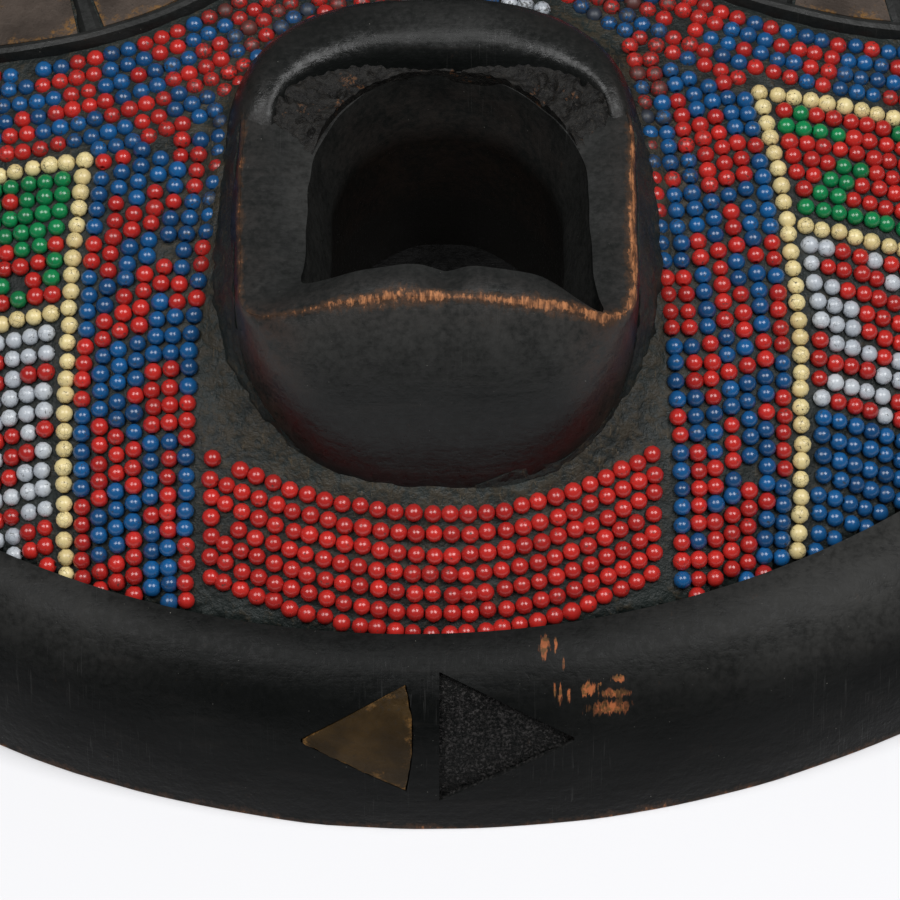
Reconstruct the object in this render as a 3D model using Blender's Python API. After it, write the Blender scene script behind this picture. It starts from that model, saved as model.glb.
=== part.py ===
"""A round African mask of black wood, inlaid with rows of glass beads and brass plates.

The mask lies face up on its flat back edge. +Z is the way the face looks, +Y the
forehead, -Y the chin and +X the side that is on the right when one looks at the
face. The origin is the middle of the back edge. All sizes are in metres.

The face is a low dome, the bed, which the beads and the eye plates lie on, inside a
smooth rim. A place on the bed is a share of the bed's half width and half length.
"""

import math

import bmesh
import bpy
from mathutils import Vector

# Overall sizes
MASK_WIDTH = 0.456
MASK_LENGTH = 0.464
RIM_SIDE = 0.030
RIM_END = 0.025
BED_SHIFT = -0.006

# Heights of the bed and of the rim around it
BED_EDGE = 0.0355
BED_RISE = 0.060
BED_POWER = 3.5
RIM_LIP = 0.006
RIM_LIP_SLOPE = 0.0015
RIM_SQUARENESS = 0.85

# The hollow behind the face
BACK_EDGE = 0.014
WALL = 0.0175
HOLLOW_POWER = 3.0

# Beads and the gaps between the pieces
BEAD = 0.0040
BEAD_SPACING = 0.0041
SEAT_GAP = 0.0005
SEAT_SINK = 0.0020
SIDE_GAP = 0.0005
RIM_GAP = 0.0016

# The mouth: a wooden box with a rolled upper lip and a scooped lower lip
MOUTH_HALF = 0.253
MOUTH_TOP = -0.314
MOUTH_FOOT = -0.879
MOUTH_TOP_SQUARE = 4.0
MOUTH_FOOT_SQUARE = 2.45
MOUTH_FRONT_HALF = 0.225
MOUTH_FRONT_TOP = -0.377
MOUTH_FRONT_FOOT = -0.805
MOUTH_STAND = 0.0035
LOWER_LIP_STAND = 0.0095
LOWER_LIP_BULGE = 0.0045
MOUTH_DEPTH = 0.058
MOUTH_WALL = 0.012
OPENING_SHIFT = 0.0022
OPENING_HALF = 0.168
OPENING_TOP = -0.430
OPENING_FOOT = -0.768
OPENING_FLARE = 0.09
OPENING_BEVEL = 0.009
OPENING_BEVEL_DEPTH = 0.022

# The upper lip's roll, a horseshoe over the top of the mouth
ROLL_FOOT = -0.512
ROLL_OUTER_HALF = 0.237
ROLL_OUTER_TOP = -0.304
ROLL_INNER_HALF = 0.164
ROLL_INNER_TOP = -0.437
ROLL_STAND = 0.0125

# The nose, a plain wedge from the bridge down to the upper lip
NOSE_FOOT = -0.270
NOSE_BRIDGE = 0.240
NOSE_HALF = 0.121
NOSE_BRIDGE_HALF = 0.050
NOSE_STAND = 0.026
NOSE_BRIDGE_STAND = 0.010

# The eyes: a ridge, radial brass plates between ribs, and a closed lid in the middle
EYE_CENTRES = {"left": (-0.480, -0.082), "right": (0.480, -0.034)}
EYE_HALF_WIDTH = 0.354
EYE_HALF_LENGTH = 0.280
EYE_PLATES = 14
EYE_RIDGE = 0.0040
EYE_RIDGE_FOOT = 1.03
LID_STAND = 0.013
LID_SLIT = 0.006
LID_SLIT_HALF = 0.0018
SLIT_REACH = 0.30
RIB_STAND = 0.0024
RIB_TURN = math.radians(2.4)
PLATE_INNER = 0.56
PLATE_OUTER = 0.90
PLATE = 0.0010
PLATE_FLOOR = 0.0005
PLATE_GAP = 0.0005

# The triangles of the chin's rim, a brass one and the recess of a lost one
TRIANGLE_GAP = 0.0035
TRIANGLE_REACH = {"left": 0.0255, "right": 0.0300}
TRIANGLE_TOP = math.radians(27)
TRIANGLE_FOOT = math.radians(77)
TRIANGLE_POINT = math.radians(57.5)
TRIANGLE_PLATE = 0.0013
TRIANGLE_RECESS = {"left": 0.0017, "right": 0.0026}

# Lines that part the fields of beads
MOUTH_MARGIN = 0.0025
CHIN_TOP = -0.886
CHIN_SAG = 0.053
STRINGS_HALF = {"left": 0.420, "right": 0.406}
STRINGS_TOP = -0.385
UPPER_LINE = {"left": -0.505, "right": -0.415}
LOWER_LINE = {"left": -0.668, "right": -0.573}
BLUE_LINE = -0.765
CROWN_DEPTH = 0.76
CROWN_LINE = 0.753
FOREHEAD_DEPTH = 0.275
FOREHEAD_TURN = math.radians(2)

# Fineness of the faceted forms
SHELL_STEPS = 48
MOUTH_STEPS = 36

HALF_WIDTH = MASK_WIDTH / 2
HALF_LENGTH = MASK_LENGTH / 2
BED_HALF_WIDTH = HALF_WIDTH - RIM_SIDE
BED_HALF_LENGTH = HALF_LENGTH - RIM_END
CROWN = BED_EDGE + BED_RISE
SIDES = {"left": -1, "right": 1}

COLOURS = {
    "wood": ((0.020, 0.020, 0.021), 0.42, 0.0),
    "brass": ((0.150, 0.105, 0.060), 0.38, 0.9),
    "red_beads": ((0.520, 0.030, 0.025), 0.18, 0.0),
    "blue_beads": ((0.020, 0.080, 0.270), 0.18, 0.0),
    "cream_beads": ((0.680, 0.560, 0.280), 0.30, 0.0),
    "green_beads": ((0.010, 0.190, 0.065), 0.20, 0.0),
    "white_beads": ((0.560, 0.580, 0.580), 0.25, 0.0),
}


def across(share):
    """The x of a share of the bed's half width."""
    return share * BED_HALF_WIDTH


def along(share):
    """The y of a share of the bed's half length."""
    return share * BED_HALF_LENGTH


def mix(low, high, share):
    """The value at a share of the way from one to the other."""
    return low + (high - low) * share


def power(value, exponent):
    """A power that keeps its value's sign."""
    return math.copysign(abs(value) ** exponent, value)


def bed_share(x, y):
    """How far out a place lies on the bed: 0 in the middle and 1 at the rim."""
    return math.hypot((x - BED_SHIFT) / BED_HALF_WIDTH, y / BED_HALF_LENGTH)


def bed_height(x, y):
    """The height of the bed."""
    return BED_EDGE + BED_RISE * (1 - min(bed_share(x, y), 1.1) ** BED_POWER)


def on_bed(x, y, lift=0.0):
    """The point over a place of the bed."""
    return Vector((x, y, bed_height(x, y) + lift))


def bed_point(share, turn, lift=0.0):
    """The point over a place of the bed that is given by its share and its turn."""
    x = BED_SHIFT + share * BED_HALF_WIDTH * math.cos(turn)
    return on_bed(x, share * BED_HALF_LENGTH * math.sin(turn), lift)


def bed_end(x, margin=RIM_GAP):
    """The y where the bed meets the chin's rim, less a margin."""
    half = BED_HALF_LENGTH - margin
    return -half * math.sqrt(max(0.0, 1 - ((x - BED_SHIFT) / (BED_HALF_WIDTH - margin)) ** 2))


def bed_side(y, side, margin=RIM_GAP):
    """The x where the bed meets the rim of one side, less a margin."""
    half = BED_HALF_WIDTH - margin
    return BED_SHIFT + side * half * math.sqrt(max(0.0, 1 - (y / (BED_HALF_LENGTH - margin)) ** 2))


def rim_point(turn, slope, lift=0.0):
    """A point of the rim's rounded shoulder: slope runs from 0 at the bed to 90 degrees below."""
    inner = Vector((BED_SHIFT + (BED_HALF_WIDTH + RIM_LIP_SLOPE) * math.cos(turn),
                    (BED_HALF_LENGTH + RIM_LIP_SLOPE) * math.sin(turn), 0))
    outer = Vector((HALF_WIDTH * math.cos(turn), HALF_LENGTH * math.sin(turn), 0))
    point = inner.lerp(outer, math.sin(slope))
    point.z = (BED_EDGE + RIM_LIP) * max(0.0, math.cos(slope)) ** RIM_SQUARENESS
    if lift:
        step = 0.01
        round_way = rim_point(turn + step, slope) - rim_point(turn - step, slope)
        down_way = rim_point(turn, slope + step) - rim_point(turn, slope - step)
        point += lift * down_way.cross(round_way).normalized()
    return point


def hollow_point(share, turn):
    """A point of the hollow behind the face."""
    height = (CROWN - WALL) * (1 - share ** HOLLOW_POWER)
    half_width = HALF_WIDTH - BACK_EDGE
    half_length = HALF_LENGTH - BACK_EDGE
    return Vector((share * half_width * math.cos(turn), share * half_length * math.sin(turn), height))


def outline(turn, half, top, foot, top_square, foot_square, shift=0.0):
    """A rounded oblong seen from the front, squarer or rounder above and below its middle."""
    middle = (top + foot) / 2
    rise = (top - foot) / 2
    square = top_square if math.sin(turn) > 0 else foot_square
    x = shift + half * power(math.cos(turn), 2 / square)
    return x, middle + rise * power(math.sin(turn), 2 / square)


def full_turn(share):
    """The turn at a share of the way round."""
    return share * 2 * math.pi


def new_object(name, bm, material):
    """An object made from a mesh in the making."""
    bm.normal_update()
    bmesh.ops.recalc_face_normals(bm, faces=bm.faces)
    mesh = bpy.data.meshes.new(name)
    bm.to_mesh(mesh)
    bm.free()
    piece = bpy.data.objects.new(name, mesh)
    mesh.materials.append(material)
    return piece


def rings(name, top, levels, bottom, steps, material, turn_at=full_turn):
    """A closed form through level after level of loops, from a top point to a bottom point.

    A level is a function that gives the loop's point at a turn.
    """
    bm = bmesh.new()
    count = len(levels) + 1
    bmesh.ops.create_uvsphere(bm, u_segments=steps, v_segments=count, radius=1.0)
    for vertex in bm.verts:
        level = round(math.acos(max(-1.0, min(1.0, vertex.co.z))) / math.pi * count)
        step = round(math.atan2(vertex.co.y, vertex.co.x) / (2 * math.pi) * steps) % steps
        if level == 0:
            vertex.co = top
        elif level == count:
            vertex.co = bottom
        else:
            vertex.co = levels[level - 1](turn_at(step / steps))
    return new_object(name, bm, material)


def sheet(name, place, columns, rows, low, high, material):
    """A sheet of some thickness over a surface.

    place(s, t, lift) gives the point over the surface. low is the underside's lift, and
    high(column, row) the upper side's.
    """
    bm = bmesh.new()
    bmesh.ops.create_grid(bm, x_segments=columns, y_segments=rows, size=0.5)
    under = {vertex: vertex.co + Vector((0.5, 0.5, 0)) for vertex in bm.verts}
    made = bmesh.ops.extrude_face_region(bm, geom=list(bm.faces))
    upper = [item for item in made["geom"] if isinstance(item, bmesh.types.BMVert)]
    above = {vertex: vertex.co + Vector((0.5, 0.5, 0)) for vertex in upper}
    for vertex, spot in under.items():
        vertex.co = place(spot.x, spot.y, low)
    for vertex, spot in above.items():
        lift = high(round(spot.x * columns), round(spot.y * rows))
        vertex.co = place(spot.x, spot.y, lift)
    return new_object(name, bm, material)


def combine(body, tool, operation):
    """Joins a form to the body or cuts it out of it."""
    modifier = body.modifiers.new(operation.lower(), "BOOLEAN")
    modifier.operation = operation
    modifier.solver = "EXACT"
    modifier.object = tool
    graph = bpy.context.evaluated_depsgraph_get()
    mesh = bpy.data.meshes.new_from_object(body.evaluated_get(graph))
    body.modifiers.clear()
    body.data = mesh


def carve(body, form, operation):
    """Joins a form to the body or cuts it out of it, and removes the form."""
    bpy.context.scene.collection.objects.link(form)
    combine(body, form, operation)
    bpy.data.objects.remove(form)


def make_shell(name, wood):
    """The plain body: bed, rim, back edge and hollow."""
    levels = [lambda turn, share=share: bed_point(share, turn)
              for share in (0.22, 0.42, 0.58, 0.71, 0.81, 0.89, 0.95, 1.0)]
    levels += [lambda turn, slope=slope: rim_point(turn, math.radians(slope))
               for slope in (0, 16, 33, 51, 70, 90)]
    levels += [lambda turn, share=share: hollow_point(share, turn)
               for share in (1.0, 0.93, 0.82, 0.68, 0.50, 0.25)]
    top = bed_point(0, 0)
    return rings(name, top, levels, hollow_point(0, 0), SHELL_STEPS, wood)


def mouth_base(turn, height, widen=1.0):
    """The foot of the mouth's outer wall."""
    x, y = outline(turn, across(MOUTH_HALF) * widen, along(MOUTH_TOP), along(MOUTH_FOOT),
                   MOUTH_TOP_SQUARE, MOUTH_FOOT_SQUARE)
    return Vector((x, y, height))


def mouth_side(y):
    """Half the width of the mouth's foot at a height of the face, at its widest below the middle."""
    middle = along(MOUTH_TOP + MOUTH_FOOT) / 2
    rise = along(MOUTH_TOP - MOUTH_FOOT) / 2
    share = min(1.0, max(0.0, (y - middle) / rise))
    return across(MOUTH_HALF) * (1 - share ** MOUTH_TOP_SQUARE) ** (1 / MOUTH_TOP_SQUARE)


def mouth_ridge(turn):
    """The front edge of the mouth's wall, which is also the lower lip's edge."""
    x, y = outline(turn, across(MOUTH_FRONT_HALF), along(MOUTH_FRONT_TOP), along(MOUTH_FRONT_FOOT), 4.0, 10.0)
    low = max(0.0, -math.sin(turn)) ** 3
    swell = max(0.0, 1 - (x / across(MOUTH_FRONT_HALF)) ** 2) * low
    return Vector((x, y, CROWN + MOUTH_STAND + LOWER_LIP_STAND * swell))


def mouth_wall(turn, share):
    """A point of the mouth's outer side between foot and front edge, bulging under the lower lip."""
    foot = mouth_base(turn, 0)
    foot.z = bed_height(foot.x, foot.y) - SEAT_GAP
    ridge = mouth_ridge(turn)
    point = foot.lerp(ridge, share)
    low = max(0.0, -math.sin(turn)) ** 2
    swell = LOWER_LIP_BULGE * low * math.sin(math.pi * share)
    return point + Vector((0, -swell, swell * 0.6))


def make_mouth(wood):
    """The mouth's box with both its walls and the lower lip, without the opening."""
    back = CROWN + MOUTH_STAND - MOUTH_DEPTH - MOUTH_WALL

    def front(turn):
        ridge = mouth_ridge(turn)
        middle = (along(MOUTH_FRONT_TOP) + along(MOUTH_FRONT_FOOT)) / 2
        return Vector((ridge.x * 0.45, mix(middle, ridge.y, 0.45), ridge.z - 0.003))

    levels = [front, mouth_ridge]
    levels += [lambda turn, share=share: mouth_wall(turn, share) for share in (0.66, 0.33, 0.0)]
    levels += [lambda turn: mouth_base(turn, back, 0.96)]
    middle = (along(MOUTH_TOP) + along(MOUTH_FOOT)) / 2
    top = Vector((0, middle, CROWN + MOUTH_STAND - 0.003))
    return rings("mouth", top, levels, Vector((0, middle, back)), MOUTH_STEPS, wood)


def make_opening(wood):
    """The space inside the mouth: bevelled walls, then straight down to a blind floor."""
    front = CROWN + MOUTH_STAND
    floor = front - MOUTH_DEPTH

    def level(height, inset):
        def point(turn):
            half = across(OPENING_HALF) * (1 - OPENING_FLARE * math.sin(turn)) - inset
            x, y = outline(turn, half, along(OPENING_TOP) - inset * 0.15, along(OPENING_FOOT) + inset * 0.4,
                           2.8, 3.2, OPENING_SHIFT)
            return Vector((x, y, height))
        return point

    levels = [level(front + 0.030, -0.001), level(front - 0.001, 0.0),
              level(front - OPENING_BEVEL_DEPTH, OPENING_BEVEL), level(floor, OPENING_BEVEL + 0.002)]
    middle = (along(OPENING_TOP) + along(OPENING_FOOT)) / 2
    return rings("opening", Vector((0, middle, front + 0.030)), levels, Vector((0, middle, floor)),
                 MOUTH_STEPS, wood)


def roll_place(s, t, lift):
    """A point over the upper lip's horseshoe: s runs across the roll and t along it."""
    turn = math.pi * (1 - t)
    rise = along(ROLL_OUTER_TOP) - along(ROLL_FOOT)
    outer_x = across(ROLL_OUTER_HALF) * power(math.cos(turn), 2 / 3.6)
    outer_y = along(ROLL_FOOT) + rise * power(math.sin(turn), 2 / 3.6)
    rise = along(ROLL_INNER_TOP) - along(ROLL_FOOT)
    inner_x = across(ROLL_INNER_HALF) * power(math.cos(turn), 2 / 2.4)
    inner_y = along(ROLL_FOOT) + rise * power(math.sin(turn), 2 / 2.4)
    return on_bed(mix(outer_x, inner_x, s), mix(outer_y, inner_y, s), lift)


def make_roll(wood):
    """The rolled upper lip."""
    columns = 6
    rows = 18

    def stand(column, row):
        profile = math.sin(math.pi * mix(0.06, 0.90, column / columns)) ** 0.7
        end = 1 - abs(2 * row / rows - 1) ** 10
        return ROLL_STAND * (0.25 + 0.75 * profile * math.sqrt(end))

    return sheet("roll", roll_place, columns, rows, -0.006, stand, wood)


def make_nose(wood):
    """The nose's wedge."""
    columns = 6
    rows = 7

    def place(s, t, lift):
        half = mix(across(NOSE_HALF), across(NOSE_BRIDGE_HALF), min(1.0, t * 1.15) ** 0.8)
        return on_bed((2 * s - 1) * half, mix(along(NOSE_FOOT), along(NOSE_BRIDGE), t), lift)

    def stand(column, row):
        share = row / rows
        height = mix(NOSE_STAND, NOSE_BRIDGE_STAND, share ** 0.8)
        if row == 0:
            height *= 0.55
        if row == rows:
            height *= 0.5
        return height * (0.12 + 0.88 * math.sin(math.pi * column / columns) ** 0.8)

    return sheet("nose", place, columns, rows, -0.006, stand, wood)


def eye_place(side, share, turn, lift):
    """A point over an eye: share is 1 at its ridge."""
    centre_x, centre_y = EYE_CENTRES[side]
    x = across(centre_x) + share * across(EYE_HALF_WIDTH) * math.cos(turn)
    return on_bed(x, along(centre_y) + share * along(EYE_HALF_LENGTH) * math.sin(turn), lift)


def make_eye(side, wood):
    """The wood of an eye: the lid in the middle, the ribs between the plates and the ridge."""

    def turn_at(share):
        plate, step = divmod(round(share * EYE_PLATES * 3), 3)
        start = plate / EYE_PLATES * 2 * math.pi
        return start + (0, RIB_TURN, 2 * math.pi / EYE_PLATES - RIB_TURN)[step]

    def level(share, lift, ribbed=False):
        def point(turn):
            off_rib = abs((turn * EYE_PLATES / (2 * math.pi) + 0.5) % 1 - 0.5)
            on_rib = ribbed and off_rib < 0.01
            return eye_place(side, share, turn, RIB_STAND if on_rib else lift)
        return point

    ring = PLATE_INNER - 0.06
    levels = [level(0.20, LID_STAND * 0.94), level(0.34, LID_STAND * 0.62), level(0.44, 0.0015),
              level(ring, EYE_RIDGE), level(PLATE_INNER, PLATE_FLOOR, True),
              level(PLATE_OUTER, PLATE_FLOOR, True), level(PLATE_OUTER + 0.04, EYE_RIDGE),
              level(0.985, EYE_RIDGE), level(EYE_RIDGE_FOOT, -0.0008), level(1.0, -0.008)]
    return rings("eye", eye_place(side, 0, 0, LID_STAND), levels, eye_place(side, 0, 0, -0.008),
                 EYE_PLATES * 3, wood, turn_at)


def make_slit(side, wood):
    """The slit between the lids of a closed eye."""
    middle = eye_place(side, 0, 0, LID_STAND)
    half = across(EYE_HALF_WIDTH) * SLIT_REACH

    def level(height, widen):
        return lambda turn: middle + Vector((half * widen * math.cos(turn),
                                             LID_SLIT_HALF * widen * math.sin(turn), height))

    levels = [level(LID_SLIT * 0.7, 1.0), level(-LID_SLIT * 0.2, 0.95)]
    top = middle + Vector((0, 0, LID_SLIT))
    return rings("slit", top, levels, middle - Vector((0, 0, LID_SLIT)), 12, wood)


def make_plates(side, brass):
    """The brass plates between the ribs of an eye."""
    plates = []
    for number in range(EYE_PLATES):
        start = number / EYE_PLATES * 2 * math.pi
        edge = RIB_TURN + 0.0065

        def place(s, t, lift, start=start, edge=edge):
            share = mix(PLATE_INNER + 0.008, PLATE_OUTER - 0.008, t)
            return eye_place(side, share, start + mix(edge, 2 * math.pi / EYE_PLATES - edge, s), lift)

        low = PLATE_FLOOR + PLATE_GAP
        name = f"eye_plate_{side}_{number + 1:02d}"
        plates.append(sheet(name, place, 1, 1, low, lambda column, row: low + PLATE, brass))
    return plates


def triangle_place(side, inset):
    """Points over a triangle of the chin's rim, from its upright edge to its point."""
    sign = SIDES[side]

    def place(s, t, lift):
        reach = TRIANGLE_REACH[side] - 2.6 * inset
        x = TRIANGLE_GAP + inset + s * reach
        turn = -math.pi / 2 + math.asin(sign * x / HALF_WIDTH)
        cut = inset / (BED_EDGE + RIM_LIP)
        top = mix(TRIANGLE_TOP + cut, TRIANGLE_POINT, s * 0.94)
        foot = mix(TRIANGLE_FOOT - cut, TRIANGLE_POINT, s * 0.94)
        share = t if sign > 0 else 1 - t
        return rim_point(turn, mix(top, foot, share), lift)

    return place


def make_recess(side, wood):
    """The recess that a triangle lies in."""
    return sheet("recess", triangle_place(side, 0), 4, 3, -TRIANGLE_RECESS[side],
                 lambda column, row: 0.004, wood)


def make_triangle(brass):
    """The brass triangle that is still in its recess."""
    low = -TRIANGLE_RECESS["left"] + 0.0004
    return sheet("chin_triangle", triangle_place("left", 0.0005), 4, 3, low,
                 lambda column, row: low + TRIANGLE_PLATE, brass)


def ridged(column, row):
    """The lift of beads laid in rows: a crest for each row and a furrow between."""
    return SEAT_GAP + BEAD * (0.94 if column % 2 else 0.62)


def flat(column, row):
    """The mean lift of beads."""
    return SEAT_GAP + BEAD * 0.85


def beaded(column, row):
    """The lift of a single string of beads: round across, and bead after bead along."""
    return SEAT_GAP + BEAD * ((0.95 if row % 2 else 0.72) if column == 1 else 0.40)


def bead_sheet(name, place, columns, rows, high, material):
    """A field of beads, which reaches below the bed until it is cut to lie on it."""
    return sheet(name, place, columns, rows, -SEAT_SINK, high, material)


def make_chin_beads(material):
    """Eight rows of beads that follow the foot of the lower lip down to the rim."""
    half = across(MOUTH_HALF) + MOUTH_MARGIN - SIDE_GAP

    def place(s, t, lift):
        x = mix(-half, half, t)
        upper = along(CHIN_TOP) + along(CHIN_SAG) * (x / half) ** 2
        return on_bed(x, mix(bed_end(x), upper, s), lift)

    return bead_sheet("chin_beads", place, 16, 8, ridged, material)


def make_strings(side, material):
    """Seven strings of beads beside the mouth, from the rim up towards the nose."""
    sign = SIDES[side]

    def place(s, t, lift):
        outer = across(STRINGS_HALF[side]) - SIDE_GAP
        y = mix(bed_end(outer), along(STRINGS_TOP), t)
        x = sign * mix(mouth_side(y) + MOUTH_MARGIN + SIDE_GAP, outer, s)
        return on_bed(x, mix(bed_end(x), along(STRINGS_TOP), t), lift)

    return bead_sheet(f"mouth_strings_{side}", place, 14, 5, ridged, material)


def make_cream_column(side, material):
    """The cream string that borders the strings beside the mouth."""
    sign = SIDES[side]
    inner = across(STRINGS_HALF[side]) + SIDE_GAP

    def place(s, t, lift):
        x = sign * (inner + s * BEAD)
        return on_bed(x, mix(bed_end(x), along(UPPER_LINE[side]) + BEAD / 2, t), lift)

    length = along(UPPER_LINE[side]) - bed_end(inner)
    beads = round(length / BEAD_SPACING * 0.8)
    return bead_sheet(f"cream_column_{side}", place, 2, 2 * beads, beaded, material)


def field_start(side):
    """The distance from the middle at which the fields beside a cream column start."""
    return across(STRINGS_HALF[side]) + BEAD + 2 * SIDE_GAP


def make_band(name, side, foot, top, rows, columns, high, material):
    """A field of level rows between two heights of the face, out to the rim."""
    sign = SIDES[side]

    def place(s, t, lift):
        y = mix(foot, top, s)
        start = sign * (field_start(side) + SIDE_GAP)
        return on_bed(mix(start, bed_side(y, sign), t), y, lift)

    return bead_sheet(name, place, rows, columns, high, material)


def level_side(y, side, share):
    """The x at which a line parallel to the rim passes a level of the face."""
    return BED_SHIFT + side * BED_HALF_WIDTH * math.sqrt(max(0.0, share ** 2 - (y / BED_HALF_LENGTH) ** 2))


def make_under_eye(side, material):
    """The rows of beads between an eye's ridge and the upper cream line."""
    sign = SIDES[side]
    foot = along(UPPER_LINE[side]) + BEAD / 2 + SIDE_GAP
    top = along(EYE_CENTRES[side][1] - EYE_HALF_LENGTH * 0.75)

    def place(s, t, lift):
        y = mix(foot, top, s)
        end = level_side(y, sign, CROWN_DEPTH - SIDE_GAP / BED_HALF_WIDTH * 2)
        return on_bed(mix(sign * (field_start(side) + SIDE_GAP), end, t), y, lift)

    return bead_sheet(f"under_eye_beads_{side}", place, 3, 6, flat, material)


def crown_turns(share):
    """The turns at which a line parallel to the rim meets the upper cream lines."""
    foot = {side: (along(UPPER_LINE[side]) + BEAD / 2 + SIDE_GAP) / (share * BED_HALF_LENGTH)
            for side in SIDES}
    return math.asin(max(-1.0, foot["right"])), math.pi - math.asin(max(-1.0, foot["left"]))


def make_crown_beads(material):
    """The rows that follow the rim round the temples and the forehead."""
    outer = 1 - RIM_GAP / BED_HALF_WIDTH

    def place(s, t, lift):
        share = mix(outer, CROWN_DEPTH, s)
        first, last = crown_turns(share)
        return bed_point(share, mix(first, last, t), lift)

    return bead_sheet("crown_beads", place, 3, 28, flat, material)


def make_crown_line(material):
    """The cream string over the forehead, from one eye to the other."""
    width = BEAD / BED_HALF_WIDTH

    def place(s, t, lift):
        turn = mix(FOREHEAD_TURN, math.pi - FOREHEAD_TURN, t)
        return bed_point(mix(CROWN_LINE, CROWN_LINE - width, s), turn, lift)

    return bead_sheet("crown_line", place, 2, 24, beaded, material)


def make_forehead_beads(material):
    """The rows of the forehead, down to the eyes and the bridge of the nose."""
    outer = CROWN_LINE - (BEAD + SIDE_GAP * 1.5) / BED_HALF_WIDTH

    def place(s, t, lift):
        turn = mix(FOREHEAD_TURN, math.pi - FOREHEAD_TURN, t)
        return bed_point(mix(outer, FOREHEAD_DEPTH, s), turn, lift)

    return bead_sheet("forehead_beads", place, 3, 18, flat, material)


def make_eye_clearance(side, material):
    """The room that the beads leave for an eye."""
    share = EYE_RIDGE_FOOT + SIDE_GAP / across(EYE_HALF_WIDTH) * 2
    reach = Vector((0, 0, BED_RISE))

    def level(height):
        return lambda turn: eye_place(side, share, turn, 0) + reach * height

    return rings("eye_clearance", eye_place(side, 0, 0, 0) + reach, [level(1), level(-1)],
                 eye_place(side, 0, 0, 0) - reach, EYE_PLATES * 3, material)


def make_line(name, side, y, material):
    """A level cream string from the cream column out to the rim."""
    sign = SIDES[side]

    def place(s, t, lift):
        level = y + (s - 0.5) * BEAD
        start = sign * (field_start(side) + SIDE_GAP)
        return on_bed(mix(start, bed_side(level, sign), t), level, lift)

    return bead_sheet(name, place, 2, 16, beaded, material)


def make_bead_fields(stuff):
    """All the fields and strings of beads."""
    red, blue, cream = stuff["red_beads"], stuff["blue_beads"], stuff["cream_beads"]
    fields = [make_chin_beads(red), make_crown_beads(blue), make_crown_line(cream), make_forehead_beads(red)]
    half = BEAD / 2 + SIDE_GAP
    for side in SIDES:
        upper = along(UPPER_LINE[side])
        lower = along(LOWER_LINE[side])
        fields.append(make_strings(side, red))
        fields.append(make_cream_column(side, cream))
        fields.append(make_under_eye(side, blue))
        fields.append(make_line(f"upper_line_{side}", side, upper, cream))
        fields.append(make_line(f"lower_line_{side}", side, lower, cream))
        fields.append(make_band(f"cheek_green_{side}", side, lower + half, upper - half, 16, 4, ridged,
                                stuff["green_beads"]))
    foot = {side: bed_end(SIDES[side] * field_start(side)) + BEAD for side in SIDES}
    blue_line = along(BLUE_LINE)
    white = stuff["white_beads"]
    foot_lines = {side: along(LOWER_LINE[side]) - half for side in SIDES}
    bands = (("cheek_white_left", "left", foot["left"], foot_lines["left"], white),
             ("cheek_white_right", "right", blue_line + SIDE_GAP, foot_lines["right"], white),
             ("jaw_blue_right", "right", foot["right"], blue_line - SIDE_GAP, blue))
    for name, side, low, high, material in bands:
        fields.append(make_band(name, side, low, high, 4, 4, flat, material))
    return fields


def make_materials():
    """One material for each stuff."""
    made = {}
    for name, (colour, roughness, metallic) in COLOURS.items():
        material = bpy.data.materials.new(name)
        material.use_nodes = True
        shader = material.node_tree.nodes["Principled BSDF"]
        shader.inputs["Base Color"].default_value = (*colour, 1)
        shader.inputs["Roughness"].default_value = roughness
        shader.inputs["Metallic"].default_value = metallic
        made[name] = material
    return made


def main():
    """Builds the mask."""
    for old in list(bpy.data.objects):
        bpy.data.objects.remove(old)
    stuff = make_materials()
    mask = bpy.data.collections.new("african_mask")
    bpy.context.scene.collection.children.link(mask)

    body = make_shell("mask_body", stuff["wood"])
    mask.objects.link(body)
    carve(body, make_mouth(stuff["wood"]), "UNION")
    carve(body, make_roll(stuff["wood"]), "UNION")
    carve(body, make_nose(stuff["wood"]), "UNION")
    carve(body, make_opening(stuff["wood"]), "DIFFERENCE")
    pieces = [make_triangle(stuff["brass"])]
    for side in SIDES:
        carve(body, make_eye(side, stuff["wood"]), "UNION")
        carve(body, make_slit(side, stuff["wood"]), "DIFFERENCE")
        carve(body, make_recess(side, stuff["wood"]), "DIFFERENCE")
        pieces += make_plates(side, stuff["brass"])
    for piece in pieces:
        mask.objects.link(piece)

    seat = make_shell("seat", stuff["wood"])
    seat.location.z = SEAT_GAP
    clearances = [make_eye_clearance(side, stuff["wood"]) for side in SIDES]
    for cutter in [seat, *clearances]:
        bpy.context.scene.collection.objects.link(cutter)
    for field in make_bead_fields(stuff):
        mask.objects.link(field)
        combine(field, seat, "DIFFERENCE")
        if field.name.startswith(("crown", "forehead", "under_eye")):
            for clearance in clearances:
                combine(field, clearance, "DIFFERENCE")
    for cutter in [seat, *clearances]:
        bpy.data.objects.remove(cutter)


main()
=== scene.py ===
"""The looks of a beaded African mask: carved black wood, mastic, glass beads, brass plates and the studio."""

import math
import random
from itertools import product

import bmesh
import bpy
import numpy as np
from mathutils import Matrix, Vector, kdtree, noise


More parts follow.
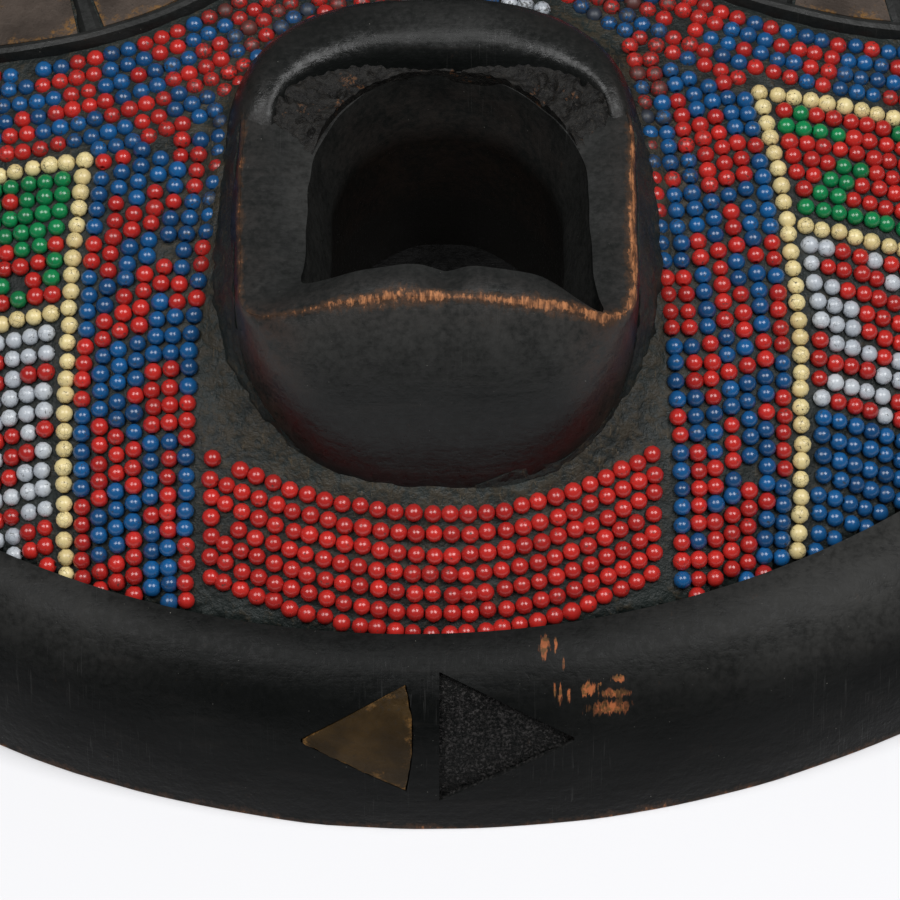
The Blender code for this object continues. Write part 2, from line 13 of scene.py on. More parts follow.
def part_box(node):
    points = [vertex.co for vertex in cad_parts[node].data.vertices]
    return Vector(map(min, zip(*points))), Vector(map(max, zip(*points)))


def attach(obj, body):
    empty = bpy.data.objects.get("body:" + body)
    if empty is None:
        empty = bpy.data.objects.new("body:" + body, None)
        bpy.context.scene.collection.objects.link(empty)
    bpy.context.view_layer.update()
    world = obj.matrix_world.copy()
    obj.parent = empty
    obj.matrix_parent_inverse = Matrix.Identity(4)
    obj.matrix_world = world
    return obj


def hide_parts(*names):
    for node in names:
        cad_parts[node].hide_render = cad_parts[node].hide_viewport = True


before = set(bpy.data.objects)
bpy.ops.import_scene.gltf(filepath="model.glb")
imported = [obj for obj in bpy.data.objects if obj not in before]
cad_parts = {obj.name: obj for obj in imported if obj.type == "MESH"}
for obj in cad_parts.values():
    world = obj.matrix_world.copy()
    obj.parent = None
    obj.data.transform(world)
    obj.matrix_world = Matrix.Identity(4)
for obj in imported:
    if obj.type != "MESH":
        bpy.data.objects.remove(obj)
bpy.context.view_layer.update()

# Sizes of the mask, as the frame has them, in metres
HALF_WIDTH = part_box("mask_body")[1].x
HALF_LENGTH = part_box("mask_body")[1].y
RIM_SIDE = 0.030
RIM_END = 0.025
BED_HALF_WIDTH = HALF_WIDTH - RIM_SIDE
BED_HALF_LENGTH = HALF_LENGTH - RIM_END
BED_SHIFT = -0.006
BED_EDGE = 0.0355
BED_RISE = 0.060
BED_POWER = 3.5
CROWN = BED_EDGE + BED_RISE
BED_LIMIT = 0.9985
BEAD_LIMIT = 0.994
RIM_LIP = 0.006
RIM_LIP_SLOPE = 0.0015
RIM_SQUARENESS = 0.85
RIM_START = 0.985
TURN_STEP = 0.01
BACK_EDGE = 0.014
WALL = 0.0175
HOLLOW_POWER = 3.0

# The mouth, in shares of the bed's half width and half length, and in metres
MOUTH_HALF = 0.250
MOUTH_TOP = -0.332
MOUTH_FOOT = -0.879
MOUTH_TOP_SQUARE = 2.6
MOUTH_FOOT_SQUARE = 2.45
MOUTH_FRONT_HALF = 0.225
MOUTH_FRONT_TOP = -0.377
MOUTH_FRONT_FOOT = -0.805
MOUTH_FRONT_TOP_SQUARE = 4.0
MOUTH_FRONT_FOOT_SQUARE = 10.0
MOUTH_STAND = 0.0035
FRONT = CROWN + MOUTH_STAND
LOWER_LIP_STAND = 0.0095
LOWER_LIP_BULGE = 0.0045
MOUTH_DEPTH = 0.058
MOUTH_WALL = 0.012
OPENING_TOP_HALF = 0.0280
OPENING_MIDDLE_HALF = 0.0322
OPENING_FOOT_HALF = 0.0368
OPENING_SHIFT = 0.0025
OPENING_LEAN = 0.0015
OPENING_TOP = -0.0885
OPENING_FOOT = -0.1572
OPENING_CORNER_DROP = 0.0095
OPENING_BEVEL_TOP = 0.0050
OPENING_BEVEL_FOOT = 0.0095
OPENING_BEVEL_DEPTH = 0.017
OPENING_MIDDLE = (OPENING_TOP + OPENING_FOOT) / 2
BEVEL_FOOT = FRONT - OPENING_BEVEL_DEPTH
ROLL_FOOT = -0.541
ROLL_OUTER_HALF = 0.244
ROLL_OUTER_TOP = -0.321
ROLL_OUTER_SHIFT = -0.0008
ROLL_OUTER_SQUARE = 2.6
ROLL_INNER_HALF = 0.189
ROLL_INNER_TOP = -0.430
ROLL_INNER_SHIFT = 0.0014
ROLL_INNER_SQUARE = 2.6
ROLL_STAND = 0.0125

# The nose and the eyes
NOSE_FOOT = -0.270
NOSE_BRIDGE = 0.240
NOSE_HALF = 0.121
NOSE_BRIDGE_HALF = 0.050
NOSE_STAND = 0.026
NOSE_BRIDGE_STAND = 0.010
EYE_CENTRES = {"left": (-0.480, -0.082), "right": (0.480, -0.034)}
EYE_HALF_WIDTH = 0.354
EYE_HALF_LENGTH = 0.280
EYE_PLATES = 14
EYE_RIDGE = 0.0040
EYE_RIDGE_FOOT = 1.03
LID_STAND = 0.013
LID_SLIT_HALF = 0.0018
RIB_STAND = 0.0024
RIB_TURN = math.radians(2.4)
PLATE_INNER = 0.56
PLATE_OUTER = 0.935
PLATE_FLOOR = 0.0005

# The triangles of the chin's rim
TRIANGLE_GAP = {"left": 0.0068, "right": 0.0006}
TRIANGLE_REACH = {"left": 0.0237, "right": 0.0303}
TRIANGLE_TOP = {"left": math.radians(28), "right": math.radians(22)}
TRIANGLE_FOOT = {"left": math.radians(75), "right": math.radians(79)}
TRIANGLE_POINT = math.radians(56.5)
TRIANGLE_RECESS = {"left": 0.0017, "right": 0.0013}
TRIANGLE_BULGE = {"left": 0.0016, "right": 0.0}

# The mastic: its lift over the bed, its underside, and the steps of its points below and above a height
MASTIC_LIFT = 0.0016
MASTIC_UNDER = -0.0012
MASTIC_FINE = 0.0013
MASTIC_COARSE = 0.0042
MASTIC_FINE_TOP = -0.045

# Beads: their size, how far apart they lie, and how much they vary
BEAD = 0.00415
BEAD_LIFT = 0.0022
BEAD_PITCH = 0.00402
ROW_PITCH = 0.00425
CLOSEST = 0.00345
CLOSEST_TIGHT = 0.0030
BEAD_ROOM = 0.0022
EYE_ROOM = 0.0016
BEAD_JITTER = 0.00012
BEAD_SIZES = 0.028
BEAD_DEPTHS = (-0.0001, 0.00035)
PITCH_SHARES = (0.985, 1.02)
ROW_START = 0.004
BEAD_TILT = 0.09
BEADS_NEAR = -0.052

# The cream columns and the strings beside the mouth, as points of the face
COLUMN = {"left": ((-0.0799, -0.100), (-0.0835, -0.150), (-0.0832, -0.192)),
          "right": ((0.0737, -0.084), (0.0814, -0.134), (0.0807, -0.188))}
INNER_STRING = {
    "left": ((-0.0560, -0.200), (-0.0562, -0.172), (-0.0556, -0.150), (-0.0535, -0.134), (-0.0515, -0.120),
             (-0.0498, -0.107), (-0.0485, -0.088), (-0.0470, -0.074)),
    "right": ((0.0550, -0.200), (0.0548, -0.172), (0.0535, -0.150), (0.0518, -0.136), (0.0500, -0.120),
              (0.0488, -0.104), (0.0470, -0.088), (0.0440, -0.074))}
COLUMN_FOOT = -0.198
STRINGS = 7
STRING_FOOT = -0.203
STRING_TOP = -0.070

# Marks scraped into the chin's rim: turn and slope in degrees, half width, half length, strength
CHIN_MARKS = ((-82.0, 13, 0.0011, 0.0026, 0.75), (-81.25, 13, 0.0004, 0.0020, 0.9),
              (-81.2, 22, 0.0003, 0.0015, 0.4), (-82.3, 35, 0.0003, 0.0023, 0.6),
              (-82.0, 36, 0.0004, 0.0022, 0.9), (-81.5, 37, 0.0004, 0.0018, 0.8),
              (-80.25, 36, 0.0015, 0.0016, 1.0), (-78.3, 33, 0.0017, 0.0008, 1.0),
              (-79.5, 34, 0.0004, 0.0005, 0.7), (-78.9, 39, 0.0036, 0.0010, 0.45),
              (-79.3, 45, 0.0046, 0.0018, 0.40))

# The fields of beads: where they begin and end, and how close their rows lie
CHIN_HALF = 0.0505
CHIN_TOP = -0.1850
CHIN_SAG = 0.0125
CHIN_ROWS = 6
CHIN_PITCH = 0.00440
UPPER_LINE = {"left": -0.1045, "right": -0.0860}
LOWER_LINE = {"left": -0.1385, "right": -0.1175}
BLUE_LINE = -0.1562
BAND_MIDDLE = 0.088
BAND_REACH = 0.21
GREEN_PITCH = 0.00395
WHITE_PITCH = 0.0044
UNDER_EYE_FIRST = 0.0023
UNDER_EYE_PITCH = 0.0041
UNDER_EYE_ROWS = {"left": 7, "right": 5}
CROWN_DEPTH = 0.76
CROWN_START = 0.990
FOREHEAD_START = CROWN_DEPTH - 0.004
FOREHEAD_FOOT = -0.075

# The studio, set to match the photo's view and light
FLOOR_HALF = 6.0
LIGHT_AIM = Vector((0, -0.1, 0.05))
LIGHT_SIZE = 0.8
SKY_STRENGTH = 0.07
CAMERA_LENS = 231.4
CAMERA_AIM = Vector((0.003, -0.174, 0.0645))
CAMERA_FAR = 1.3
CAMERA_HEIGHT = math.radians(50)

SIDES = {"left": -1, "right": 1}
CHANCE = random.Random(41)


def across(share):
    """The x of a share of the bed's half width."""
    return share * BED_HALF_WIDTH


def along(share):
    """The y of a share of the bed's half length."""
    return share * BED_HALF_LENGTH


def mix(low, high, share):
    """The value at a share of the way from one to the other."""
    return low + (high - low) * share


def ramp(value, low, high):
    """A smooth step from 0 at low to 1 at high, or down where low is the greater."""
    share = min(1.0, max(0.0, (value - low) / (high - low)))
    return share * share * (3 - 2 * share)


def power(value, exponent):
    """A power that keeps its value's sign."""
    return math.copysign(abs(value) ** exponent, value)


def wobble(point, size, seed=0.0):
    """A smooth noise from -1 to 1, with bumps of about this size in metres."""
    return noise.noise(point / size + Vector((seed, seed * 1.7, seed * 2.3)))


def bed_share(x, y):
    """How far out a place lies on the bed: 0 in the middle and 1 at the rim."""
    return math.hypot((x - BED_SHIFT) / BED_HALF_WIDTH, y / BED_HALF_LENGTH)


def bed_height(x, y):
    """The height of the bed."""
    return BED_EDGE + BED_RISE * (1 - min(bed_share(x, y), 1.1) ** BED_POWER)


def on_bed(x, y, lift=0.0):
    """The point over a place of the bed."""
    return Vector((x, y, bed_height(x, y) + lift))


def bed_normal(x, y):
    """The bed's direction outwards at a place."""
    step = 0.0005
    slope_x = (bed_height(x + step, y) - bed_height(x - step, y)) / (2 * step)
    slope_y = (bed_height(x, y + step) - bed_height(x, y - step)) / (2 * step)
    return Vector((-slope_x, -slope_y, 1)).normalized()


def bed_point(share, turn, lift=0.0):
    """The point over a place of the bed that is given by its share and its turn."""
    x = BED_SHIFT + share * BED_HALF_WIDTH * math.cos(turn)
    return on_bed(x, share * BED_HALF_LENGTH * math.sin(turn), lift)


def rim_point(turn, slope, lift=0.0):
    """A point of the rim's rounded shoulder: slope runs from 0 at the bed to 90 degrees below."""
    inner = Vector((BED_SHIFT + (BED_HALF_WIDTH + RIM_LIP_SLOPE) * math.cos(turn),
                    (BED_HALF_LENGTH + RIM_LIP_SLOPE) * math.sin(turn), 0))
    outer = Vector((HALF_WIDTH * math.cos(turn), HALF_LENGTH * math.sin(turn), 0))
    point = inner.lerp(outer, math.sin(slope))
    point.z = (BED_EDGE + RIM_LIP) * max(0.0, math.cos(slope)) ** RIM_SQUARENESS
    if lift:
        point += lift * rim_normal(turn, slope)
    return point


def rim_normal(turn, slope):
    """The rim's direction outwards."""
    slope = min(slope, math.radians(88))
    round_way = rim_point(turn + TURN_STEP, slope) - rim_point(turn - TURN_STEP, slope)
    down_way = rim_point(turn, slope + TURN_STEP) - rim_point(turn, slope - TURN_STEP)
    return down_way.cross(round_way).normalized()


def hollow_point(share, turn):
    """A point of the hollow behind the face."""
    height = (CROWN - WALL) * (1 - share ** HOLLOW_POWER)
    half_width = HALF_WIDTH - BACK_EDGE
    half_length = HALF_LENGTH - BACK_EDGE
    return Vector((share * half_width * math.cos(turn), share * half_length * math.sin(turn), height))


def outline(turn, half, top, foot, top_square, foot_square):
    """A rounded oblong seen from the front, squarer or rounder above and below its middle."""
    middle = (top + foot) / 2
    rise = (top - foot) / 2
    square = top_square if math.sin(turn) > 0 else foot_square
    x = half * power(math.cos(turn), 2 / square)
    return x, middle + rise * power(math.sin(turn), 2 / square)


# Mesh building


def link_mesh(name, mesh, material):
    """A mesh object of one material in the scene."""
    mesh.materials.append(material)
    piece = bpy.data.objects.new(name, mesh)
    bpy.context.scene.collection.objects.link(piece)
    return piece


def new_piece(name, verts, faces, material, smooth_angle=40):
    """A mesh object, shaded smooth except over edges sharper than an angle."""
    mesh = bpy.data.meshes.new(name)
    mesh.from_pydata([tuple(vert) for vert in verts], [], faces)
    mesh.validate()
    finish_normals(mesh)
    shade(mesh, smooth_angle)
    return link_mesh(name, mesh, material)


def set_layer(mesh, name, values):
    """Gives each point of a mesh a value that its material reads."""
    mesh.attributes.new(name, "FLOAT", "POINT").data.foreach_set("value", np.asarray(values, np.float32))


def finish_normals(mesh):
    """Turns all of a closed mesh's faces outwards."""
    bm = bmesh.new()
    bm.from_mesh(mesh)
    bm.normal_update()
    bmesh.ops.recalc_face_normals(bm, faces=bm.faces)
    bm.to_mesh(mesh)
    bm.free()


def shade(mesh, angle):
    """Smooth shading, with the edges over an angle in degrees kept sharp."""
    mesh.shade_smooth()
    mesh.set_sharp_from_angle(angle=math.radians(angle))


def even_turns(steps):
    """Turns at even steps all the way round."""
    return [2 * math.pi * step / steps for step in range(steps)]


def loop_faces(steps, loops):
    """The faces of a closed form: a first point, loops of so many steps and a last point."""
    faces = []
    last = 1 + (loops - 1) * steps
    for step in range(steps):
        after = (step + 1) % steps
        faces.append((0, 1 + step, 1 + after))
        for low in range(1, last, steps):
            faces.append((low + step, low + steps + step, low + steps + after, low + after))
        faces.append((last + after, last + step, last + steps))
    return faces


def loft(name, top, levels, bottom, turns, material):
    """A closed form through level after level of loops, from a top point to a bottom point."""
    verts = [top]
    for level in levels:
        verts += [level(turn) for turn in turns]
    verts.append(bottom)
    return new_piece(name, verts, loop_faces(len(turns), len(levels)), material)


def slab(name, place, columns, rows, low, high, material, smooth_angle=40):
    """A closed sheet over a surface, from the lift low to the lift high(s, t)."""
    verts = []
    for row in range(rows + 1):
        for column in range(columns + 1):
            s, t = column / columns, row / rows
            verts.append(place(s, t, high(s, t)))
    for row in range(rows + 1):
        for column in range(columns + 1):
            verts.append(place(column / columns, row / rows, low))
    wide = columns + 1
    under = wide * (rows + 1)
    faces = []
    for row in range(rows):
        for column in range(columns):
            a = row * wide + column
            faces.append((a, a + 1, a + wide + 1, a + wide))
            faces.append((under + a, under + a + wide, under + a + wide + 1, under + a + 1))
    border = list(range(wide))
    border += [row * wide + columns for row in range(1, rows + 1)]
    border += [rows * wide + column for column in range(columns - 1, -1, -1)]
    border += [row * wide for row in range(rows - 1, 0, -1)]
    for first, second in zip(border, border[1:] + border[:1]):
        faces.append((first, under + first, under + second, second))
    return new_piece(name, verts, faces, material, smooth_angle)


def carve(body, form, operation):
    """Joins a form to the body or cuts it out of it, and removes the form."""
    modifier = body.modifiers.new(operation.lower(), "BOOLEAN")
    modifier.operation = operation
    modifier.solver = "EXACT"
    modifier.object = form
    graph = bpy.context.evaluated_depsgraph_get()
    mesh = bpy.data.meshes.new_from_object(body.evaluated_get(graph))
    body.modifiers.clear()
    body.data = mesh
    bpy.data.objects.remove(form)


# The wood


def make_shell(wood):
    """The plain body: bed, rim, back edge and hollow."""

    def rim_level(slope):
        def point(turn):
            spot = rim_point(turn, slope)
            dent = 0.0005 * wobble(spot, 0.045, 3) + 0.00022 * wobble(spot, 0.012, 5)
            return spot + rim_normal(turn, slope) * dent * ramp(slope, 0, 0.3)
        return point

    levels = [lambda turn, share=share: bed_point(share, turn)
              for share in (0.15, 0.30, 0.44, 0.56, 0.66, 0.74, 0.81, 0.87, 0.92, 0.955, 0.98, 1.0)]
    levels += [rim_level(math.radians(slope)) for slope in (*range(0, 85, 5), 84, 87, 90)]
    levels += [lambda turn, share=share: hollow_point(share, turn)
               for share in (1.0, 0.97, 0.93, 0.88, 0.82, 0.75, 0.68, 0.60, 0.50, 0.38, 0.25, 0.12)]
    return loft("carved_wood", bed_point(0, 0), levels, hollow_point(0, 0), even_turns(288), wood)


def mouth_base(turn, height, widen=1.0):
    """The foot of the mouth's outer wall."""
    x, y = outline(turn, across(MOUTH_HALF) * widen, along(MOUTH_TOP), along(MOUTH_FOOT),
                   MOUTH_TOP_SQUARE, MOUTH_FOOT_SQUARE)
    return Vector((x, y, height))


def mouth_ridge(turn):
    """The front edge of the mouth's wall, which is also the lower lip's edge."""
    x, y = outline(turn, across(MOUTH_FRONT_HALF), along(MOUTH_FRONT_TOP), along(MOUTH_FRONT_FOOT),
                   MOUTH_FRONT_TOP_SQUARE, MOUTH_FRONT_FOOT_SQUARE)
    low = max(0.0, -math.sin(turn)) ** 3
    swell = max(0.0, 1 - (x / across(MOUTH_FRONT_HALF)) ** 2) * low
    spot = Vector((x, y, FRONT + LOWER_LIP_STAND * swell))
    return spot + Vector((0.0006 * wobble(spot, 0.014, 1), 0.0005 * wobble(spot, 0.010, 2),
                          0.0005 * wobble(spot, 0.012, 4)))


def mouth_wall(turn, share):
    """A point of the mouth's outer side between foot and front edge, bulging under the lower lip."""
    foot = mouth_base(turn, 0)
    foot.z = bed_height(foot.x, foot.y) - 0.0005
    point = foot.lerp(mouth_ridge(turn), share)
    low = max(0.0, -math.sin(turn)) ** 2
    swell = LOWER_LIP_BULGE * low * math.sin(math.pi * share)
    return point + Vector((0, -swell, swell * 0.6))


def make_mouth(wood):
    """The mouth's box with both its walls and the lower lip, without the opening."""
    back = FRONT - MOUTH_DEPTH - MOUTH_WALL
    middle = (along(MOUTH_FRONT_TOP) + along(MOUTH_FRONT_FOOT)) / 2

    def front(share):
        def point(turn):
            ridge = mouth_ridge(turn)
            sink = 0.003 * ramp(share, 1.0, 0.45) + 0.0005 * ramp(share, 0.94, 1.0)
            spot = Vector((ridge.x * share, mix(middle, ridge.y, share), ridge.z - sink))
            if spot.y < middle:
                notch = math.exp(-((spot.x - 0.002) / 0.0038) ** 2)
                flat = ramp(share, 0.96, 0.88) * ramp(abs(spot.x), 0.035, 0.02)
                spot.z += (0.0010 - 0.0024 * notch) * flat
            spot.z += 0.0002 * wobble(spot, 0.007, 31)
            return spot
        return point

    def side(share):
        def point(turn):
            spot = mouth_wall(turn, share)
            inwards = Vector((-spot.x, middle - spot.y, 0)).normalized()
            return spot + inwards * 0.0007 * ramp(share, 0.93, 1.0)
        return point

    levels = [front(share) for share in (0.45, 0.55, 0.64, 0.72, 0.79, 0.85, 0.90, 0.94, 0.965, 0.98, 0.993)]
    levels += [side(share) for share in (0.985, 0.96, 0.93, 0.89, 0.84, 0.78, 0.72, 0.65, 0.57, 0.49, 0.41,
                                         0.33, 0.25, 0.16, 0.08, 0.0)]
    levels += [lambda turn: mouth_base(turn, back, 0.96)]
    centre = (along(MOUTH_TOP) + along(MOUTH_FOOT)) / 2
    top = Vector((0, middle, FRONT - 0.003))
    return loft("mouth", top, levels, Vector((0, centre, back)), spaced_turns(mouth_ridge, 280), wood)


def spaced_turns(curve, steps):
    """Turns that space a closed curve's points evenly along it."""
    turns = np.linspace(0, 2 * math.pi, 4001)
    turns = turns - 0.2499 * np.sin(4 * turns)
    spots = np.array([tuple(curve(turn)) for turn in turns])
    gone = np.concatenate([[0], np.cumsum(np.linalg.norm(np.diff(spots, axis=0), axis=1))])
    return list(np.interp(np.arange(steps) / steps * gone[-1], gone, turns))


def opening_edge(turn):
    """The opening's edge, seen from the front: an arch above and a wide straight foot."""
    up = math.sin(turn)
    middle = OPENING_MIDDLE
    rise = (OPENING_TOP - OPENING_FOOT) / 2
    half = mix(OPENING_MIDDLE_HALF, OPENING_TOP_HALF if up > 0 else OPENING_FOOT_HALF, abs(up))
    square = 2.3 if up > 0 else 12
    x = OPENING_SHIFT - OPENING_LEAN * up + half * power(math.cos(turn), 2 / square)
    y = middle + rise * power(up, 2 / square)
    y -= OPENING_CORNER_DROP * ramp(x, 0.022, 0.040) * ramp(y, middle - 0.005, middle - 0.030)
    return x, y


def make_opening(wood):
    """The space inside the mouth: bevelled walls, then straight down to a blind floor."""
    floor = FRONT - MOUTH_DEPTH
    middle = OPENING_MIDDLE

    def level(height, share, rough):
        def point(turn):
            x, y = opening_edge(turn)
            low = ramp(-math.sin(turn), -0.3, 0.8)
            inset = mix(OPENING_BEVEL_TOP, OPENING_BEVEL_FOOT, low) * share
            x = OPENING_SHIFT + (x - OPENING_SHIFT) * (1 - inset / OPENING_MIDDLE_HALF)
            y = middle + (y - middle) * (1 - 0.06 * share)
            spot = Vector((x, y, height))
            return spot + Vector((rough * wobble(spot, 0.009, 6), rough * wobble(spot, 0.008, 8), 0))
        return point

    levels = [level(FRONT + 0.030, 0.0, 0.0), level(FRONT + 0.012, 0.0, 0.0003),
              level(FRONT + 0.002, 0.0, 0.0004), level(FRONT - 0.0006, 0.02, 0.0004)]
    levels += [level(FRONT - OPENING_BEVEL_DEPTH * step / 8, step / 8, 0.0006) for step in range(1, 9)]
    levels += [level(mix(BEVEL_FOOT, floor, step / 8), 1 + 0.1 * step / 8, 0.0007) for step in range(1, 9)]
    return loft("opening", Vector((0, middle, FRONT + 0.030)), levels, Vector((0, middle, floor)),
                spaced_turns(opening_edge, 190), wood)


def roll_edge(turn, half, top, shift, square):
    """A point of the upper lip's outer or inner edge, seen from the front."""
    rise = along(top) - along(ROLL_FOOT)
    return (shift + across(half) * power(math.cos(turn), 2 / square),
            along(ROLL_FOOT) + rise * power(math.sin(turn), 2 / square))


def roll_place(s, t, lift):
    """A point over the upper lip's horseshoe: s runs across the roll and t along it."""
    turn = math.pi * (1 - t)
    outer = roll_edge(turn, ROLL_OUTER_HALF, ROLL_OUTER_TOP, ROLL_OUTER_SHIFT, ROLL_OUTER_SQUARE)
    inner = roll_edge(turn, ROLL_INNER_HALF, ROLL_INNER_TOP, ROLL_INNER_SHIFT, ROLL_INNER_SQUARE)
    return on_bed(mix(outer[0], inner[0], s), mix(outer[1], inner[1], s), lift)


def make_roll(wood):
    """The rolled upper lip."""

    def stand(s, t):
        profile = (1 - abs(2 * s ** 1.35 - 1) ** 2.8) ** 0.5
        end = 1 - abs(2 * t - 1) ** 10
        spot = roll_place(s, t, 0)
        dent = 0.0005 * wobble(spot, 0.018, 9) + 0.0002 * wobble(spot, 0.006, 11)
        return ROLL_STAND * (0.08 + 0.96 * profile * math.sqrt(end)) + dent

    return slab("roll", roll_place, 44, 140, -0.006, stand, wood)


def make_filler(mastic):
    """The rough filler between the upper lip's roll and the opening's arch."""

    def place(s, t, lift):
        outer = roll_place(0.84, t, 0)
        edge = opening_edge(math.pi * (1 - mix(0.03, 0.97, t)))
        inner = Vector((edge[0], edge[1] - 0.0004, 0))
        spot = outer.lerp(inner, s)
        spot.z = FRONT + lift
        return spot

    def stand(s, t):
        spot = place(s, t, 0)
        ends = ramp(t, 0.0, 0.13) * ramp(t, 1.0, 0.87)
        height = mix(0.0030, 0.0004, ramp(s, 0.0, 0.85)) * mix(0.2, 1.0, ends)
        rough = 0.0006 * wobble(spot, 0.0045, 41) + 0.0006 * wobble(spot, 0.0015, 43)
        pit = 0.0014 * ramp(wobble(spot, 0.0022, 45), 0.25, 0.60)
        dive = 0.0030 * (1 - ends) + 0.0008 * (1 - ends) * wobble(spot, 0.006, 49)
        return max(-0.0025, height - 0.0006 + rough - pit - dive)

    piece = slab("lip_filler", place, 30, 190, -0.0040, stand, mastic)
    mark_dust(piece.data, 0.30)
    return piece


def make_collar(mastic):
    """The filler that is drawn up against the outside of the mouth's walls."""

    def place(s, t, lift):
        turn = collar_turn(s)
        share = mix(-0.12, collar_reach(turn), t)
        spot = mouth_wall(turn, max(0.0, share))
        middle = along(MOUTH_TOP + MOUTH_FOOT) / 2
        outwards = Vector((spot.x, (spot.y - middle) * 0.8, 0)).normalized()
        spot += outwards * (lift + 0.030 * max(0.0, -share))
        if share < 0:
            spot.z = bed_height(spot.x, spot.y) + MASTIC_LIFT - 0.0006
        return spot

    def stand(s, t):
        spot = place(s, t, 0)
        thick = mix(0.0024, 0.0002, ramp(t, 0.1, 1.0)) * mix(0.4, 1.0, collar_reach(collar_turn(s)))
        rough = 0.0013 * wobble(spot, 0.0050, 45) + 0.0010 * wobble(spot, 0.0021, 47)
        return thick + rough * mix(1.0, 0.45, t)

    piece = slab("mouth_filler", place, 360, 22, -0.0020, stand, mastic)
    mark_dust(piece.data, 0.42)
    return piece


def collar_turn(s):
    """The turn at a share of the way round the mouth, from below the lip and back to it."""
    return math.radians(mix(-97, 263, s))


def collar_reach(turn):
    """How far up the mouth's wall the filler reaches: high at the sides and low under the lip."""
    low = ramp(-math.sin(turn), 0.15, 0.80)
    return mix(0.84, 0.10, low) + 0.05 * math.sin(turn * 5 + 1) + 0.03 * math.sin(turn * 13)


def mark_dust(mesh, value):
    """One amount of brown dust all over a piece of mastic."""
    set_layer(mesh, "dust", np.full(len(mesh.vertices), value))


def nose_half(t):
    """Half the nose's width at a share of its length."""
    return mix(across(NOSE_HALF), across(NOSE_BRIDGE_HALF), min(1.0, t * 1.15) ** 0.8)


def make_nose(wood):
    """The nose's wedge."""

    def place(s, t, lift):
        return on_bed((2 * s - 1) * nose_half(t), mix(along(NOSE_FOOT), along(NOSE_BRIDGE), t), lift)

    def stand(s, t):
        height = mix(NOSE_STAND, NOSE_BRIDGE_STAND, t ** 0.8)
        height *= mix(0.55, 1.0, ramp(t, 0.0, 0.10)) * mix(1.0, 0.5, ramp(t, 0.88, 1.0))
        return height * (0.12 + 0.88 * math.sin(math.pi * s) ** 0.8)

    return slab("nose", place, 30, 60, -0.006, stand, wood)


def eye_place(side, share, turn, lift):
    """A point over an eye: share is 1 at its ridge."""
    centre_x, centre_y = EYE_CENTRES[side]
    x = across(centre_x) + share * across(EYE_HALF_WIDTH) * math.cos(turn)
    return on_bed(x, along(centre_y) + share * along(EYE_HALF_LENGTH) * math.sin(turn), lift)


def make_eye(side, wood):
    """The wood of an eye: the lid in the middle, the ribs between the plates and the ridge."""
    rib_steps = (-1.25, -1.0, -0.45, 0.0, 0.45, 1.0, 1.25)
    turns = []
    for number in range(EYE_PLATES):
        start = number / EYE_PLATES * 2 * math.pi
        turns += [start + RIB_TURN * step for step in rib_steps]
        room = 2 * math.pi / EYE_PLATES - 2.5 * RIB_TURN
        turns += [start + 1.25 * RIB_TURN + room * step / 5 for step in range(1, 5)]

    def level(share, lift, ribbed=0.0):
        def point(turn):
            off_rib = abs((turn * EYE_PLATES / (2 * math.pi) + 0.5) % 1 - 0.5) * 2 * math.pi / EYE_PLATES
            on_rib = ramp(off_rib, 1.25 * RIB_TURN, 0.75 * RIB_TURN) * ribbed
            height = mix(lift, RIB_STAND, on_rib)
            spot = eye_place(side, share, turn, height)
            return spot + Vector((0, 0, 0.00035 * wobble(spot, 0.012, 13)))
        return point

    ring = PLATE_INNER - 0.06
    levels = [level(share, LID_STAND * math.cos(share / 0.44 * math.pi / 2) ** 0.75 + 0.0006)
              for share in (0.05, 0.10, 0.15, 0.20, 0.25, 0.30, 0.34, 0.38, 0.41, 0.43)]
    levels += [level(0.445, 0.0012), level(0.455, 0.0030), level(ring - 0.02, EYE_RIDGE),
               level(ring + 0.015, EYE_RIDGE), level(PLATE_INNER - 0.015, EYE_RIDGE * 0.75),
               level(PLATE_INNER, PLATE_FLOOR, 1.0)]
    levels += [level(mix(PLATE_INNER, PLATE_OUTER, step / 6), PLATE_FLOOR, 1.0) for step in range(1, 7)]
    levels += [level(PLATE_OUTER + 0.010, EYE_RIDGE * 0.72), level(PLATE_OUTER + 0.020, EYE_RIDGE * 0.92),
               level(0.972, EYE_RIDGE), level(0.992, EYE_RIDGE * 0.93), level(1.006, EYE_RIDGE * 0.65),
               level(1.016, EYE_RIDGE * 0.2), level(EYE_RIDGE_FOOT, -0.0008), level(1.0, -0.008)]
    top = eye_place(side, 0, 0, LID_STAND)
    return loft("eye", top, levels, eye_place(side, 0, 0, -0.008), turns, wood)


def make_slit(side, wood):
    """The slit between the lids of a closed eye."""
    middle = eye_place(side, 0, 0, LID_STAND)
    half = across(EYE_HALF_WIDTH) * 0.30

    def level(height, widen):
        return lambda turn: middle + Vector((half * widen * math.cos(turn),
                                             LID_SLIT_HALF * widen * math.sin(turn), height))

    return loft("slit", middle + Vector((0, 0, 0.006)), [level(0.004, 1.0), level(-0.0012, 0.95)],
                middle - Vector((0, 0, 0.006)), even_turns(40), wood)


